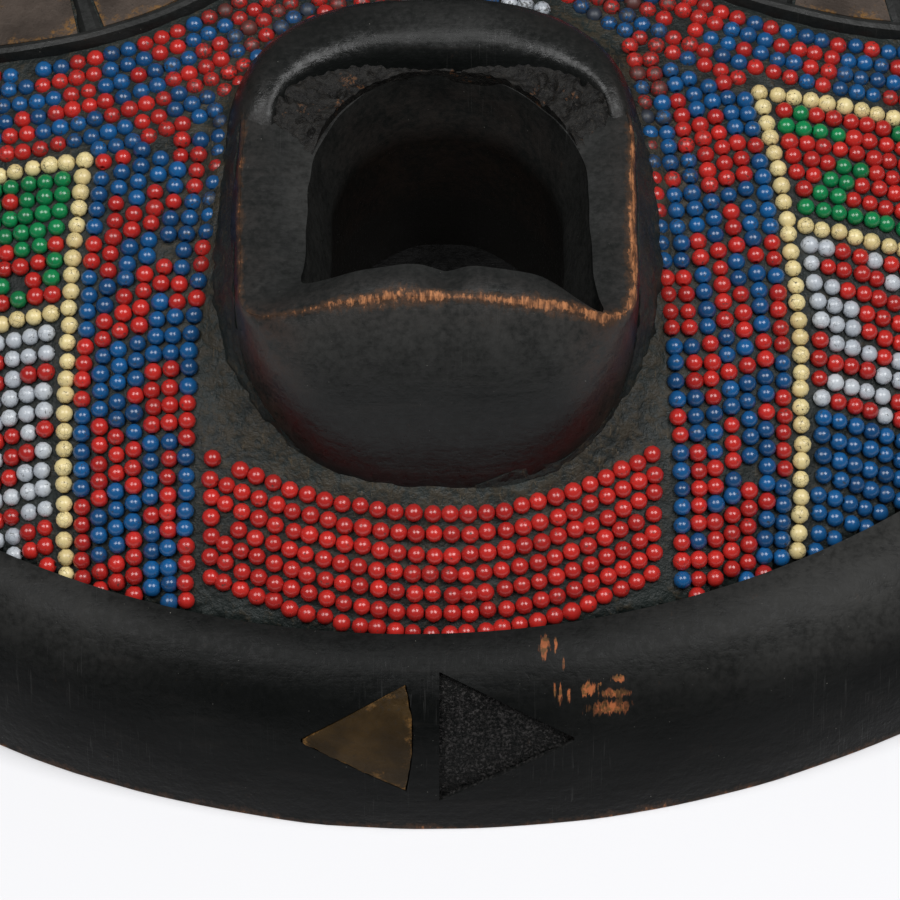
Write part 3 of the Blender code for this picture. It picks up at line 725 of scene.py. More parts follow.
def triangle_place(side, inset):
    """Points over a triangle of the chin's rim, from its upright edge to its point."""
    sign = SIDES[side]

    def place(s, t, lift):
        reach = TRIANGLE_REACH[side] - 2.6 * inset
        x = TRIANGLE_GAP[side] + inset + s * reach - TRIANGLE_BULGE[side] * math.sin(math.pi * t) * (1 - s)
        cut = inset / (BED_EDGE + RIM_LIP)
        top = mix(TRIANGLE_TOP[side] + cut, TRIANGLE_POINT, s * 0.97)
        foot = mix(TRIANGLE_FOOT[side] - cut, TRIANGLE_POINT, s * 0.97)
        slope = mix(top, foot, t if sign > 0 else 1 - t)
        middle = BED_SHIFT * (1 - math.sin(slope))
        radius = mix(BED_HALF_WIDTH + RIM_LIP_SLOPE, HALF_WIDTH, math.sin(slope))
        turn = -math.pi / 2 + math.asin((sign * x - middle) / radius)
        return rim_point(turn, slope, lift)

    return place


def make_recess(side, wood):
    """The recess that a triangle lies in, with a chiselled floor."""
    place = triangle_place(side, 0)

    def floor(s, t, lift):
        rough = 0.0
        if lift < 0:
            spot = place(s, t, 0)
            rough = 0.0004 * wobble(spot, 0.004, 15) + 0.0003 * wobble(spot, 0.0016, 17)
        return place(s, t, lift + rough)

    return slab("recess", floor, 30, 30, -TRIANGLE_RECESS[side], lambda s, t: 0.004, wood)


def make_wood(wood, rim_wood):
    """The whole carved body as one mesh."""
    body = make_shell(wood)
    body.data.materials.append(rim_wood)
    carve(body, make_mouth(wood), "UNION")
    carve(body, make_roll(wood), "UNION")
    carve(body, make_nose(wood), "UNION")
    carve(body, make_opening(wood), "DIFFERENCE")
    for side in SIDES:
        carve(body, make_eye(side, wood), "UNION")
        carve(body, make_slit(side, wood), "DIFFERENCE")
        carve(body, make_recess(side, wood), "DIFFERENCE")
    shade(body.data, 26)
    # Faces of the rim and the back take the rim's darker copy of the paint, which is painted shade.
    for polygon in body.data.polygons:
        middle = polygon.center
        below = middle.z < bed_height(middle.x, middle.y) - 0.012
        outside = bed_share(middle.x, middle.y) > RIM_START or below
        in_mouth = middle.z > 0.036 and mouth_share(middle.x, middle.y, -0.005) < 1
        polygon.material_index = 1 if outside and not in_mouth else 0
    mark_wear(body.data)
    return body


def polish_at(spot):
    """How smooth the paint is: the upper lip's roll shines most, but its middle is dull."""
    if spot.y > -0.060 or mouth_share(spot.x, spot.y, 0.004) > 1:
        return 0.0
    roll = ramp(spot.z, FRONT + 0.0005, FRONT + 0.0025) * ramp(spot.y, -0.135, -0.125)
    return roll * (1 - 1.2 * math.exp(-((spot.x - 0.002) / 0.016) ** 2))


def tree_of(points):
    """A tree that finds the nearest of some points."""
    tree = kdtree.KDTree(len(points))
    for number, point in enumerate(points):
        tree.insert(point, number)
    tree.balance()
    return tree


def rim_painted_sheen(spot, normal):
    """How much painted sheen lies on the rim's upper shoulder, most of it at the right: a pale colour
    standing in for the right lamp's reflection.
    """
    right = mix(0.3, 1.0, ramp(spot.x, 0.045, 0.100)) * ramp(spot.x, 0.02, 0.05)
    return ramp(normal.z, 0.36, 0.66) * max(right, 0.60 * ramp(spot.x, -0.05, -0.085))


def mouth_marks(spot, near, distance):
    """The marks of a point round the mouth, by its distance from the nearest point of the front edge."""
    strong = math.exp(-((near.x + 0.010) / 0.014) ** 2)
    lower = ramp(near.y, -0.155, -0.163) * mix(0.87, 1.25, strong)
    right = ramp(near.x, 0.0, 0.02) * ramp(near.y, -0.115, -0.150)
    sides = ramp(near.y, -0.095, -0.110) * mix(0.90, 1.22, near.x > 0)
    reach = mix(0.0026, 0.0048, max(strong, 0.8 * right))
    corner = ramp(abs(spot.x), 0.026, 0.043) * ramp(spot.y, -0.158, -0.168)
    arch = ramp(spot.y, -0.120, -0.095) * ramp(spot.z, 0.098, 0.090)
    marks = {"wear": ramp(distance, reach, 0.0) * max(lower, sides),
             "rub": max(corner, 0.20 * arch, 0.12 * ramp(distance, 0.010, 0.002))}
    # Pale band under the lower lip's ridge: partly dust, partly a painted highlight where the lip faces the
    # lamps.
    if near.y < -0.155 and spot.y < near.y:
        marks["chalk_and_sheen"] = ramp(distance, 0.027, 0.006)
    # Inside the opening: painted shade below the bevel's foot, and pale painted light on the bevel above it.
    if mouth_share(spot.x, spot.y, -0.008) < 1:
        marks["deep"] = ramp(spot.z, BEVEL_FOOT + 0.0002, BEVEL_FOOT - 0.0012)
        if spot.z < 0.0975:
            marks["chalk_and_sheen"] = 0.5 * ramp(spot.z, BEVEL_FOOT - 0.0008, BEVEL_FOOT + 0.0002)
    return marks


def marks_at(spot, normal, ridge, recess):
    """All the marks of one point of the wood, from trees of the mouth's edge and the empty recess's floor."""
    marks = {"polish": polish_at(spot)}
    # Painted sheen: pale colour on the rim's upper shoulder, strongest at the right.
    if spot.z > 0.020 and spot.y < -0.12 and bed_share(spot.x, spot.y) > RIM_START:
        marks["chalk_and_sheen"] = rim_painted_sheen(spot, normal)
    if spot.z > 0.060 and -0.190 < spot.y < -0.075 and abs(spot.x) < 0.055:
        near, _, distance = ridge.find(spot)
        marks.update(mouth_marks(spot, near, distance))
    elif spot.z < 0.004:
        marks["wear"] = 0.8 * ramp(spot.z, 0.0022, 0.0003)
    elif spot.y < -0.19 and spot.z < 0.045:
        marks["pitted"] = ramp(recess.find(spot)[2], 0.0012, 0.0007)
    # Painted shade: the walls and floor deep inside the mouth are darkened.
    elif 0.038 < spot.z < BEVEL_FOOT and mouth_share(spot.x, spot.y, -0.006) < 1:
        marks["deep"] = 1
    return marks


def mark_wear(mesh):
    """Marks where the wood is worn bare, rubbed, chalky or pale with painted sheen, darkened with painted
    shade, pitted or smooth, for the paint to follow.
    """
    ridge = tree_of([mouth_ridge(turn) for turn in spaced_turns(mouth_ridge, 720)])
    place = triangle_place("right", 0)
    recess = tree_of([place(column / 30, row / 30, -TRIANGLE_RECESS["right"])
                      for row in range(31) for column in range(31)])
    names = ("wear", "rub", "chalk_and_sheen", "deep", "pitted", "polish")
    layers = {name: np.zeros(len(mesh.vertices)) for name in names}
    for vertex in mesh.vertices:
        for name, value in marks_at(vertex.co, vertex.normal, ridge, recess).items():
            layers[name][vertex.index] = value
    for name, values in layers.items():
        set_layer(mesh, name, values)


# The brass


def make_brass_plate(name, place, columns, rows, low, thick, brass, seed):
    """A brass plate with bent corners and dents that stands for its node."""

    def stand(s, t):
        spot = place(s, t, 0)
        return low + thick + 0.00030 * wobble(spot, 0.010, seed) + 0.00012 * wobble(spot, 0.003, seed + 2)

    piece = slab(name + "_worn", place, columns, rows, low, stand, brass, 35)
    edge = np.ones(len(piece.data.vertices))
    for row in range(rows + 1):
        for column in range(columns + 1):
            s, t = column / columns, row / rows
            edge[row * (columns + 1) + column] = 1 - min(s, 1 - s, t, 1 - t) * 2
    set_layer(piece.data, "edge", edge)
    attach(piece, "root")
    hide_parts(name)


def make_eye_plates(side, brass):
    """The plates between the ribs of an eye."""
    edge = RIB_TURN + 0.0065
    for number in range(EYE_PLATES):
        start = number / EYE_PLATES * 2 * math.pi

        def place(s, t, lift, start=start):
            share = mix(PLATE_INNER + 0.008, PLATE_OUTER - 0.008, t)
            return eye_place(side, share, start + mix(edge, 2 * math.pi / EYE_PLATES - edge, s), lift)

        name = f"eye_plate_{side}_{number + 1:02d}"
        make_brass_plate(name, place, 18, 20, PLATE_FLOOR + 0.0004, 0.0011, brass, 50 + number)


def make_chin_triangle(brass):
    """The triangle that is still in its recess, with a ragged edge."""
    place = triangle_place("left", 0.0003)

    def ragged(s, t, lift):
        spot = place(s, t, lift)
        step = 0.00035 * wobble(spot, 0.0022, 71) * ramp(min(s, 1 - s, t, 1 - t), 0.2, 0.0)
        return spot + Vector((step, 0, step))

    make_brass_plate("chin_triangle", ragged, 30, 26, -TRIANGLE_RECESS["left"] + 0.0004, 0.0014, brass, 70)


# Where beads may lie


def string_x(side, y):
    """The x of the string beside the mouth at a height of the face, through its points by straight steps."""
    xs, ys = zip(*INNER_STRING[side])
    return float(np.interp(y, ys, xs))


def column_x(side, y):
    """The x of the cream column, on the curve through its three points."""
    (x0, y0), (x1, y1), (x2, y2) = COLUMN[side]
    y = max(min(y, y0 + 0.004), y2 - 0.012)
    return (x0 * (y - y1) * (y - y2) / ((y0 - y1) * (y0 - y2))
            + x1 * (y - y0) * (y - y2) / ((y1 - y0) * (y1 - y2))
            + x2 * (y - y0) * (y - y1) / ((y2 - y0) * (y2 - y1)))


def eye_foot(side):
    """The middle, half width and half length of the foot of an eye's ridge."""
    x, y = EYE_CENTRES[side]
    half_width = across(EYE_HALF_WIDTH) * EYE_RIDGE_FOOT
    return across(x), along(y), half_width, along(EYE_HALF_LENGTH) * EYE_RIDGE_FOOT


def eye_distance(side, x, y):
    """About how far a place lies outside the foot of an eye's ridge."""
    middle_x, middle_y, half_width, half_length = eye_foot(side)
    dx = x - middle_x
    dy = y - middle_y
    share = math.hypot(dx / half_width, dy / half_length)
    if share < 0.2:
        return -half_length
    return (share - 1) * share / math.hypot(dx / half_width ** 2, dy / half_length ** 2)


def eye_offset_point(side, turn, distance):
    """The place at a distance outside the foot of an eye's ridge."""
    middle_x, middle_y, half_width, half_length = eye_foot(side)
    normal = Vector((math.cos(turn) / half_width, math.sin(turn) / half_length, 0)).normalized()
    return (middle_x + half_width * math.cos(turn) + normal.x * distance,
            middle_y + half_length * math.sin(turn) + normal.y * distance)


def mouth_share(x, y, margin=0.0):
    """How far out a place lies from the mouth's middle: over 1 is outside its foot and a margin."""
    middle = along(MOUTH_TOP + MOUTH_FOOT) / 2
    rise = along(MOUTH_TOP - MOUTH_FOOT) / 2 + margin
    square = MOUTH_TOP_SQUARE if y > middle else MOUTH_FOOT_SQUARE
    half = across(MOUTH_HALF) + margin
    return (abs(x) / half) ** square + (abs(y - middle) / rise) ** square


def nose_gap(x, y):
    """How far a place lies from the nose's side, or a large number above and below it."""
    foot, bridge = along(NOSE_FOOT), along(NOSE_BRIDGE)
    if not foot - 0.003 < y < bridge + 0.003:
        return 1.0
    return abs(x) - nose_half(min(1.0, max(0.0, (y - foot) / (bridge - foot))))


def bead_fits(x, y):
    """Whether a bead has room at a place: inside the rim and clear of the mouth, nose and eyes."""
    if bed_share(x, y) > BEAD_LIMIT:
        return False
    if mouth_share(x, y, BEAD_ROOM) < 1 or nose_gap(x, y) < BEAD_ROOM:
        return False
    return all(eye_distance(side, x, y) > EYE_ROOM for side in SIDES)


# Laying the beads


class Beadwork:
    """All the beads laid so far, in groups of one field and one colour."""

    def __init__(self):
        self.cells = {}
        self.groups = {}

    def is_free(self, spot, closest):
        """Whether no bead's middle lies closer than this."""
        near = product(*[(part - 1, part, part + 1) for part in cell_of(spot)])
        return all((other - spot).length >= closest for cell in near for other in self.cells.get(cell, ()))

    def add(self, group, x, y, thread, size, dirt, sink, closest):
        """Lays one bead where there is room for it."""
        normal = bed_normal(x, y)
        spot = on_bed(x, y) + normal * (BEAD_LIFT - sink)
        if self.is_free(spot, closest):
            self.cells.setdefault(cell_of(spot), []).append(spot)
            self.groups.setdefault(group, []).append((spot, normal, thread, size, dirt))

    def lay_row(self, field, path, colour_of, lost=0.010, start=0.0, dirt_of=lambda x, y: 0.1,
                allowed=bead_fits, closest=CLOSEST, sink=0.0):
        """Lays beads along a path of plan points, at an even pitch over the bed.

        colour_of(number) names each bead's colour.
        """
        spots = [on_bed(x, y) for x, y in path]
        gone = -start
        number = 0
        for first, second in zip(spots, spots[1:]):
            length = (second - first).length
            while gone <= length and length > 0:
                spot = first.lerp(second, max(0.0, gone / length))
                x = spot.x + CHANCE.gauss(0, BEAD_JITTER)
                y = spot.y + CHANCE.gauss(0, BEAD_JITTER)
                if allowed(x, y) and CHANCE.random() > lost:
                    dirt = dirt_of(x, y)
                    group = (field, colour_of(number))
                    size = CHANCE.gauss(1.0, BEAD_SIZES)
                    depth = sink + CHANCE.uniform(*BEAD_DEPTHS)
                    self.add(group, x, y, (second - first).normalized(), size, dirt, depth, closest)
                number += 1
                gone += BEAD_PITCH * CHANCE.uniform(*PITCH_SHARES)
            gone -= length


def cell_of(spot):
    """The cell of a grid of bead-sized cells that a point lies in."""
    return tuple(math.floor(value / BEAD) for value in spot)


def runs(first, second, longest):
    """Two colours that change after every few beads."""
    state = {"colour": CHANCE.choice((first, second)), "left": CHANCE.randint(1, longest)}

    def colour_of(number):
        if state["left"] == 0:
            state["colour"] = second if state["colour"] == first else first
            state["left"] = CHANCE.randint(1, longest)
        state["left"] -= 1
        return state["colour"]

    return colour_of


def plain(colour):
    """One colour all along."""
    return lambda number: colour


def sampled(point_at, count=140):
    """The places of a path at even shares of it."""
    return [point_at(step / count) for step in range(count + 1)]


def down_rows(x, top, count, pitch):
    """Heights of the face, one bead row after another down the bed from the top at this x."""
    rows = []
    y = top
    step = 0.0002
    gone = 0.0
    while len(rows) < count and bed_share(x, y) < 1.0:
        gone += math.hypot(step, bed_height(x, y) - bed_height(x, y - step))
        y -= step
        if gone >= pitch * (len(rows) + 1):
            rows.append(y)
    return rows


def lay_columns(work):
    """The cream columns beside the mouth and the cream lines out to the rim."""
    for side, sign in SIDES.items():
        top = UPPER_LINE[side]
        path = [(column_x(side, y), y) for y in sampled(lambda t: mix(top, COLUMN_FOOT, t))]
        work.lay_row(f"cream_column_{side}", path, plain("cream"), lost=0.0)
        for name, y in (("upper_line", top), ("lower_line", LOWER_LINE[side])):
            start = column_x(side, y) + sign * BEAD * 1.02
            path = sampled(lambda t: (mix(start, sign * BAND_REACH, t), y))
            work.lay_row(f"{name}_{side}", path, plain("cream"), lost=0.0)


def lay_chin(work):
    """The smile-curved rows of red beads between the lower lip and the rim."""
    columns = sampled(lambda t: mix(-CHIN_HALF, CHIN_HALF, t), 60)
    table = []
    for x in columns:
        top = CHIN_TOP + CHIN_SAG * (x / CHIN_HALF) ** 2 * (1.0 if x < 0 else 1.25)
        table.append([top] + down_rows(x, top, CHIN_ROWS, CHIN_PITCH))
    for row in range(CHIN_ROWS + 1):
        path = [(x, heights[row]) for x, heights in zip(columns, table) if row < len(heights)]
        if len(path) > 1:
            work.lay_row("chin_beads", path, plain("red"), start=CHANCE.uniform(0, 0.001), lost=0.0,
                         allowed=lambda x, y: bed_share(x, y) < BED_LIMIT, closest=CLOSEST_TIGHT,
                         sink=0.0009 if row == CHIN_ROWS else 0.0002)


def lay_strings(work):
    """The seven strings beside the mouth."""
    for side in SIDES:
        limit = UNDER_EYE_FIRST + UNDER_EYE_PITCH * UNDER_EYE_ROWS[side] - EYE_ROOM
        for number in range(STRINGS):
            share = (number + 1) / STRINGS

            def place(t, share=share):
                y = mix(STRING_FOOT, STRING_TOP, t)
                return mix(column_x(side, y), string_x(side, y), share), y

            def allowed(x, y):
                return bed_share(x, y) < 0.993 and eye_distance(side, x, y) > limit

            def dirt_of(x, y):
                near = ramp(abs(x), 0.068, 0.048) * ramp(y, -0.150, -0.100)
                return 0.12 + 0.7 * near * CHANCE.random()

            work.lay_row(f"mouth_strings_{side}", sampled(place, 200), runs("red", "blue", 5),
                         allowed=allowed, start=CHANCE.uniform(0, ROW_START), dirt_of=dirt_of)


def lay_under_eyes(work):
    """The rows that follow each eye's ridge, down to the cream lines and in to the lip."""
    for side in SIDES:
        for row in range(UNDER_EYE_ROWS[side]):
            distance = UNDER_EYE_FIRST + UNDER_EYE_PITCH * row

            def place(t, distance=distance):
                return eye_offset_point(side, math.radians(mix(-195, 15, t)), distance)

            def allowed(x, y):
                if not bead_fits(x, y) or y > along(EYE_CENTRES[side][1]) and abs(x) > 0.05:
                    return False
                if abs(x) > abs(column_x(side, y)) and y < UPPER_LINE[side] + BEAD * 0.9:
                    return False
                return bed_share(x, y) < CROWN_DEPTH

            def dirt_of(x, y):
                return 0.22 + 0.6 * ramp(abs(x), 0.065, 0.045) * CHANCE.random()

            work.lay_row(f"under_eye_beads_{side}", sampled(place, 300), runs("red", "blue", 4),
                         allowed=allowed, start=CHANCE.uniform(0, ROW_START), dirt_of=dirt_of, sink=0.0005)


def green_left(column, row):
    """Green, with red lines that cross into diamonds further down."""
    if row < 3:
        return "red" if column == 3 and row == 1 else "green"
    return "red" if (column + row) % 7 in (0, 1) or (column - row) % 7 == 3 else "green"


def green_right(column, row):
    """Red, with green lines that rise to the right and a green last row."""
    if row == 6 or (row == 1 and column < 4) or (row == 0 and column in (1, 7)):
        return "green"
    return "green" if row > 2 and (column + row) % 6 in (0, 1) else "red"


def lay_bands(work):
    """The level rows between the cream lines and the rim."""
    for side, sign in SIDES.items():
        x = sign * BAND_MIDDLE
        upper = down_rows(x, UPPER_LINE[side], 9, GREEN_PITCH)
        upper = [y for y in upper if y > LOWER_LINE[side] + BEAD * 0.65]
        pattern = green_left if side == "left" else green_right
        for row, y in enumerate(upper):
            lay_band_row(work, f"cheek_green_{side}", side, y, lambda number, row=row: pattern(number, row))
        lower = down_rows(x, LOWER_LINE[side], 20, WHITE_PITCH)
        for row, y in enumerate(lower):
            if side == "right" and y < BLUE_LINE:
                lay_band_row(work, "jaw_blue_right", side, y, plain("blue"))
            elif row == 0 and side == "left":
                lay_band_row(work, "cheek_white_left", side, y, plain("white"))
            else:
                lay_band_row(work, f"cheek_white_{side}", side, y, runs("white", "red", 4))


def lay_band_row(work, field, side, y, colour_of):
    """One level row from the cream column out to the rim."""
    sign = SIDES[side]
    start = column_x(side, y) + sign * BEAD * CHANCE.uniform(1.0, 1.25)
    path = sampled(lambda t: (mix(start, sign * BAND_REACH, t), y + 0.0003 * math.sin(t * 9)))
    sink = 0.0009 * ramp(y, -0.165, -0.180)
    work.lay_row(field, path, colour_of, lost=0.012, closest=CLOSEST_TIGHT, sink=sink)


def arc(share, start, end, count):
    """The places along an arc of the bed between two turns in degrees."""
    spots = sampled(lambda t: bed_point(share, math.radians(mix(start, end, t))), count)
    return [(spot.x, spot.y) for spot in spots]


def lay_crown(work):
    """The rows that follow the rim round the temples and the forehead."""

    def allowed(x, y):
        side = "left" if x < 0 else "right"
        return bead_fits(x, y) and y > UPPER_LINE[side] + BEAD * 0.9

    share = CROWN_START
    row = 0
    while share > CROWN_DEPTH + 0.012:
        colour_of = plain("blue") if row in (4, 5) else runs("blue", "red", 6)
        work.lay_row("crown_beads", arc(share, -40, 220, 400), colour_of, allowed=allowed,
                     start=CHANCE.uniform(0, ROW_START))
        slope = BED_RISE * BED_POWER * share ** (BED_POWER - 1) / BED_HALF_WIDTH
        share -= ROW_PITCH / math.hypot(1, slope) / BED_HALF_WIDTH
        row += 1


def lay_forehead(work):
    """The cream string inside the crown, and the rows of the forehead and round the nose."""
    work.lay_row("crown_line", arc(FOREHEAD_START, -4, 184, 400), plain("cream"), lost=0.0)
    share = FOREHEAD_START - ROW_PITCH / BED_HALF_WIDTH
    while share > 0.02:
        work.lay_row("forehead_beads", arc(share, -30, 210, 300), runs("red", "blue", 6),
                     allowed=lambda x, y: bead_fits(x, y) and y > FOREHEAD_FOOT,
                     start=CHANCE.uniform(0, ROW_START))
        share -= ROW_PITCH / BED_HALF_WIDTH


def lay_lip_string(work):
    """The string of small pale beads along the upper edge of the lip's roll."""

    def place(t):
        spot = roll_place(-0.13, mix(0.30, 0.645, t), 0)
        return spot.x, spot.y

    def colour_of(number):
        return "blue" if number % 7 in (4, 5) else "white"

    work.lay_row("lip_string", sampled(place, 300), colour_of, lost=0.02, allowed=lambda x, y: True,
                 closest=CLOSEST_TIGHT, dirt_of=lambda x, y: 0.5)


def bead_template(segments, rings, holed):
    """A bead round its thread, which runs along Z, with a dimple at each hole."""
    end = math.radians(28 if holed else 20)
    turns = np.linspace(end, math.pi - end, rings)
    profile = [(math.sin(turn) * 0.5, math.cos(turn) * 0.485) for turn in turns]
    if holed:
        profile = [(0.10, 0.40), (0.13, 0.475)] + profile + [(0.13, -0.475), (0.10, -0.40)]
    verts = [(0.0, 0.0, profile[0][1] - 0.02)]
    for radius, height in profile:
        verts += [(radius * math.cos(turn), radius * math.sin(turn), height) for turn in even_turns(segments)]
    verts.append((0.0, 0.0, profile[-1][1] + 0.02))
    return np.array(verts), loop_faces(segments, len(profile))


def place_bead(template, spot, normal, thread, size):
    """A bead's points, turned at random, and how far each lies above its middle in bead radii."""
    tilt = Vector([CHANCE.gauss(0, BEAD_TILT) for _ in range(3)])
    axis = (thread + tilt).normalized()
    side = axis.cross(normal).normalized()
    turn = Matrix((side, axis.cross(side), axis)).transposed()
    turn = turn @ Matrix.Rotation(CHANCE.uniform(0, math.pi), 3, "Z")
    placed = (template * BEAD * size) @ np.array(turn).T
    return placed + np.array(spot), placed @ np.array(normal) / (BEAD / 2)


def build_beads(work, materials):
    """One mesh for each colour of each field, each of which stands for the field's node."""
    fine = bead_template(12, 5, True)
    coarse = bead_template(8, 4, False)
    for (field, colour), beads in sorted(work.groups.items()):
        verts, faces, tints, ups, dirts = [], [], [], [], []
        first = 0
        for spot, normal, thread, size, dirt in beads:
            template, shape = fine if spot.y < BEADS_NEAR else coarse
            points, up = place_bead(template, spot, normal, thread, size)
            verts.append(points)
            ups.append(up)
            faces += [tuple(first + corner for corner in face) for face in shape]
            tints.append(np.full(len(template), CHANCE.random()))
            dirts.append(np.full(len(template), dirt * CHANCE.uniform(0.5, 1.5)))
            first += len(template)
        name = f"{field}_{colour}"
        mesh = bpy.data.meshes.new(name)
        mesh.from_pydata(np.concatenate(verts).tolist(), [], faces)
        mesh.shade_smooth()
        for layer, values in (("tint", tints), ("up", ups), ("dirt", dirts)):
            set_layer(mesh, layer, np.concatenate(values))
        piece = link_mesh(name, mesh, materials[f"{colour}_beads"])
        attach(piece, "root")
        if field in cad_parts:
            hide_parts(field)


# The mastic


def mastic_height(x, y):
    """The mastic's lift over the bed: lumpy all over, and drawn up in lumps round the mouth."""
    spot = Vector((x, y, 0))
    lift = MASTIC_LIFT + 0.00035 * wobble(spot, 0.006, 21) + 0.00025 * wobble(spot, 0.0025, 23)
    share = mouth_share(x, y)
    if share < 3.0:
        near = ramp(share, 1.9, 1.05)
        lift += 0.0021 * ramp(share, 1.35, 0.95)
        lift += near * (0.0007 * wobble(spot, 0.0045, 25) + 0.0005 * wobble(spot, 0.0022, 27))
    return lift


def mastic_dust(x, y):
    """How much brown dust and thread lies in the mastic: most round the mouth."""
    return 0.32 + 0.48 * ramp(mouth_share(x, y), 2.6, 1.1)


def mastic_rows(bm):
    """Rows of points over the bed, fewer above the mouth, each row as points by their column."""
    ys = [-BED_HALF_LENGTH]
    while ys[-1] < BED_HALF_LENGTH:
        ys.append(ys[-1] + (MASTIC_FINE if ys[-1] < MASTIC_FINE_TOP else MASTIC_COARSE))
    columns = int(2 * BED_HALF_WIDTH / MASTIC_FINE)
    rows = []
    for y in ys:
        row = {}
        for column in range(0, columns + 1, 1 if y < MASTIC_FINE_TOP else 3):
            x = BED_SHIFT - BED_HALF_WIDTH + column * 2 * BED_HALF_WIDTH / columns
            if bed_share(x, y) < BED_LIMIT and mouth_share(x, y, -0.006) > 1:
                row[column] = bm.verts.new((x, y, 0))
        rows.append(row)
    return rows


def fill_rows(bm, low, high):
    """Faces between two rows, one column wide, or three where a row has only every third point."""
    for column in sorted(high):
        for step in (1, 3):
            corners = [low.get(column), low.get(column + step), high.get(column + step), high.get(column)]
            inside = step == 3 and column + 1 in low and column + 1 in high
            if all(corners) and not inside:
                bm.faces.new(corners)
                break


def make_mastic(mastic):
    """The sheet of mastic that the beads are bedded in, open over the mouth."""
    bm = bmesh.new()
    rows = mastic_rows(bm)
    for low, high in zip(rows, rows[1:]):
        fill_rows(bm, low, high)
    made = bmesh.ops.extrude_face_region(bm, geom=list(bm.faces))
    upper = {item for item in made["geom"] if isinstance(item, bmesh.types.BMVert)}
    for vertex in bm.verts:
        x, y = vertex.co.x, vertex.co.y
        vertex.co = on_bed(x, y, mastic_height(x, y) if vertex in upper else MASTIC_UNDER)
    bm.normal_update()
    bmesh.ops.recalc_face_normals(bm, faces=bm.faces)
    mesh = bpy.data.meshes.new("mastic")
    bm.to_mesh(mesh)
    bm.free()
    set_layer(mesh, "dust", [mastic_dust(vertex.co.x, vertex.co.y) for vertex in mesh.vertices])
    shade(mesh, 60)
    return link_mesh("mastic", mesh, mastic)


# Materials


class Value:
    """A node's output, which adds, subtracts and multiplies like a number by adding math nodes."""

    def __init__(self, look, socket):
        self.look = look
        self.socket = socket

    def __add__(self, other):
        return self.look.calc("ADD", self, other)

    def __radd__(self, other):
        return self.look.calc("ADD", other, self)

    def __sub__(self, other):
        return self.look.calc("SUBTRACT", self, other)

    def __mul__(self, other):
        return self.look.calc("MULTIPLY", self, other)


class Look:
    """A material, and short ways to add nodes to it."""

    def __init__(self, name):
        self.material = bpy.data.materials.new(name)
        self.material.use_nodes = True
        self.tree = self.material.node_tree

    def feed(self, socket, value):
        """Links a socket to another node's output, or sets it to a plain value."""
        if isinstance(value, Value):
            self.tree.links.new(value.socket, socket)
        else:
            socket.default_value = value

    def node(self, kind, inputs, output, **settings):
        """One output of a new node with these inputs and settings."""
        node = self.tree.nodes.new(kind)
        for name, setting in settings.items():
            setattr(node, name, setting)
        for name, value in inputs.items():
            self.feed(node.inputs[name], value)
        return Value(self, node.outputs[output])

    def at(self, scale=(1, 1, 1), turn=(0, 0, 0)):
        """The place on the object, scaled and turned."""
        place = self.node("ShaderNodeTexCoord", {}, "Object")
        return self.node("ShaderNodeMapping", {"Vector": place, "Scale": scale, "Rotation": turn}, "Vector")

    def noise(self, place, scale, detail=3.0, roughness=0.55, distortion=0.0):
        """Noise from 0 to 1."""
        return self.node("ShaderNodeTexNoise", {
            "Vector": place, "Scale": scale, "Detail": detail, "Roughness": roughness,
            "Distortion": distortion}, "Fac")

    def step(self, value, low, high, to_low=0.0, to_high=1.0):
        """A smooth step from one range to another."""
        return self.node("ShaderNodeMapRange", {
            "Value": value, "From Min": low, "From Max": high, "To Min": to_low,
            "To Max": to_high}, "Result", interpolation_type="SMOOTHSTEP")

    def calc(self, operation, first, second):
        """One math node over two values."""
        return self.node("ShaderNodeMath", {0: first, 1: second}, "Value", operation=operation)

    def most(self, first, *others):
        """The greatest of some values."""
        for other in others:
            first = self.calc("MAXIMUM", first, other)
        return first

    def blend(self, share, first, second):
        """A mix of two colours."""
        first, second = [(*colour, 1) if isinstance(colour, tuple) else colour for colour in (first, second)]
        return self.node("ShaderNodeMix", {0: share, 6: first, 7: second}, 2, data_type="RGBA")

    def coats(self, colour, *coats):
        """A colour with coats over it, each with how far it covers and its own colour."""
        for cover, coat in coats:
            colour = self.blend(cover, colour, coat)
        return colour

    def bumped(self, *bumps):
        """The normal with bumps one over another, each with its height, strength and distance."""
        normal = {}
        for height, strength, distance in bumps:
            inputs = {"Height": height, "Strength": strength, "Distance": distance, **normal}
            normal = {"Normal": self.node("ShaderNodeBump", inputs, "Normal")}
        return normal["Normal"]

    def carried(self, name):
        """A value that the mesh carries."""
        return self.node("ShaderNodeAttribute", {}, "Fac", attribute_name=name)

    def finish(self, inputs):
        """Feeds the shader and gives the material."""
        shader = self.tree.nodes["Principled BSDF"]
        for name, value in inputs.items():
            self.feed(shader.inputs[name], value)
        return self.material


def chin_marks(look, strokes):
    """Small marks scraped through the paint of the chin's rim."""
    place = look.node("ShaderNodeTexCoord", {}, "Object")
    ragged = (strokes - 0.5) * 3.2
    streaks = look.step(strokes, 0.40, 0.56)
    marks = []
    for turn, slope, half_across, half_down, strength in CHIN_MARKS:
        turn, slope = math.radians(turn), math.radians(slope)
        middle = rim_point(turn, slope)
        down = rim_point(turn, slope + TURN_STEP) - middle
        local = look.node("ShaderNodeMapping", {
            "Vector": place, "Location": middle, "Rotation": (math.atan2(down.z, down.y), 0, 0),
            "Scale": (half_across, half_down, 0.005)}, "Vector", vector_type="TEXTURE")
        far = look.node("ShaderNodeVectorMath", {0: local}, "Value", operation="LENGTH")
        solid = streaks * (1 - strength) + (strength - 0.1)
        marks.append(look.step(far + ragged, 1.05, 0.65) * solid)
    return look.most(*marks)


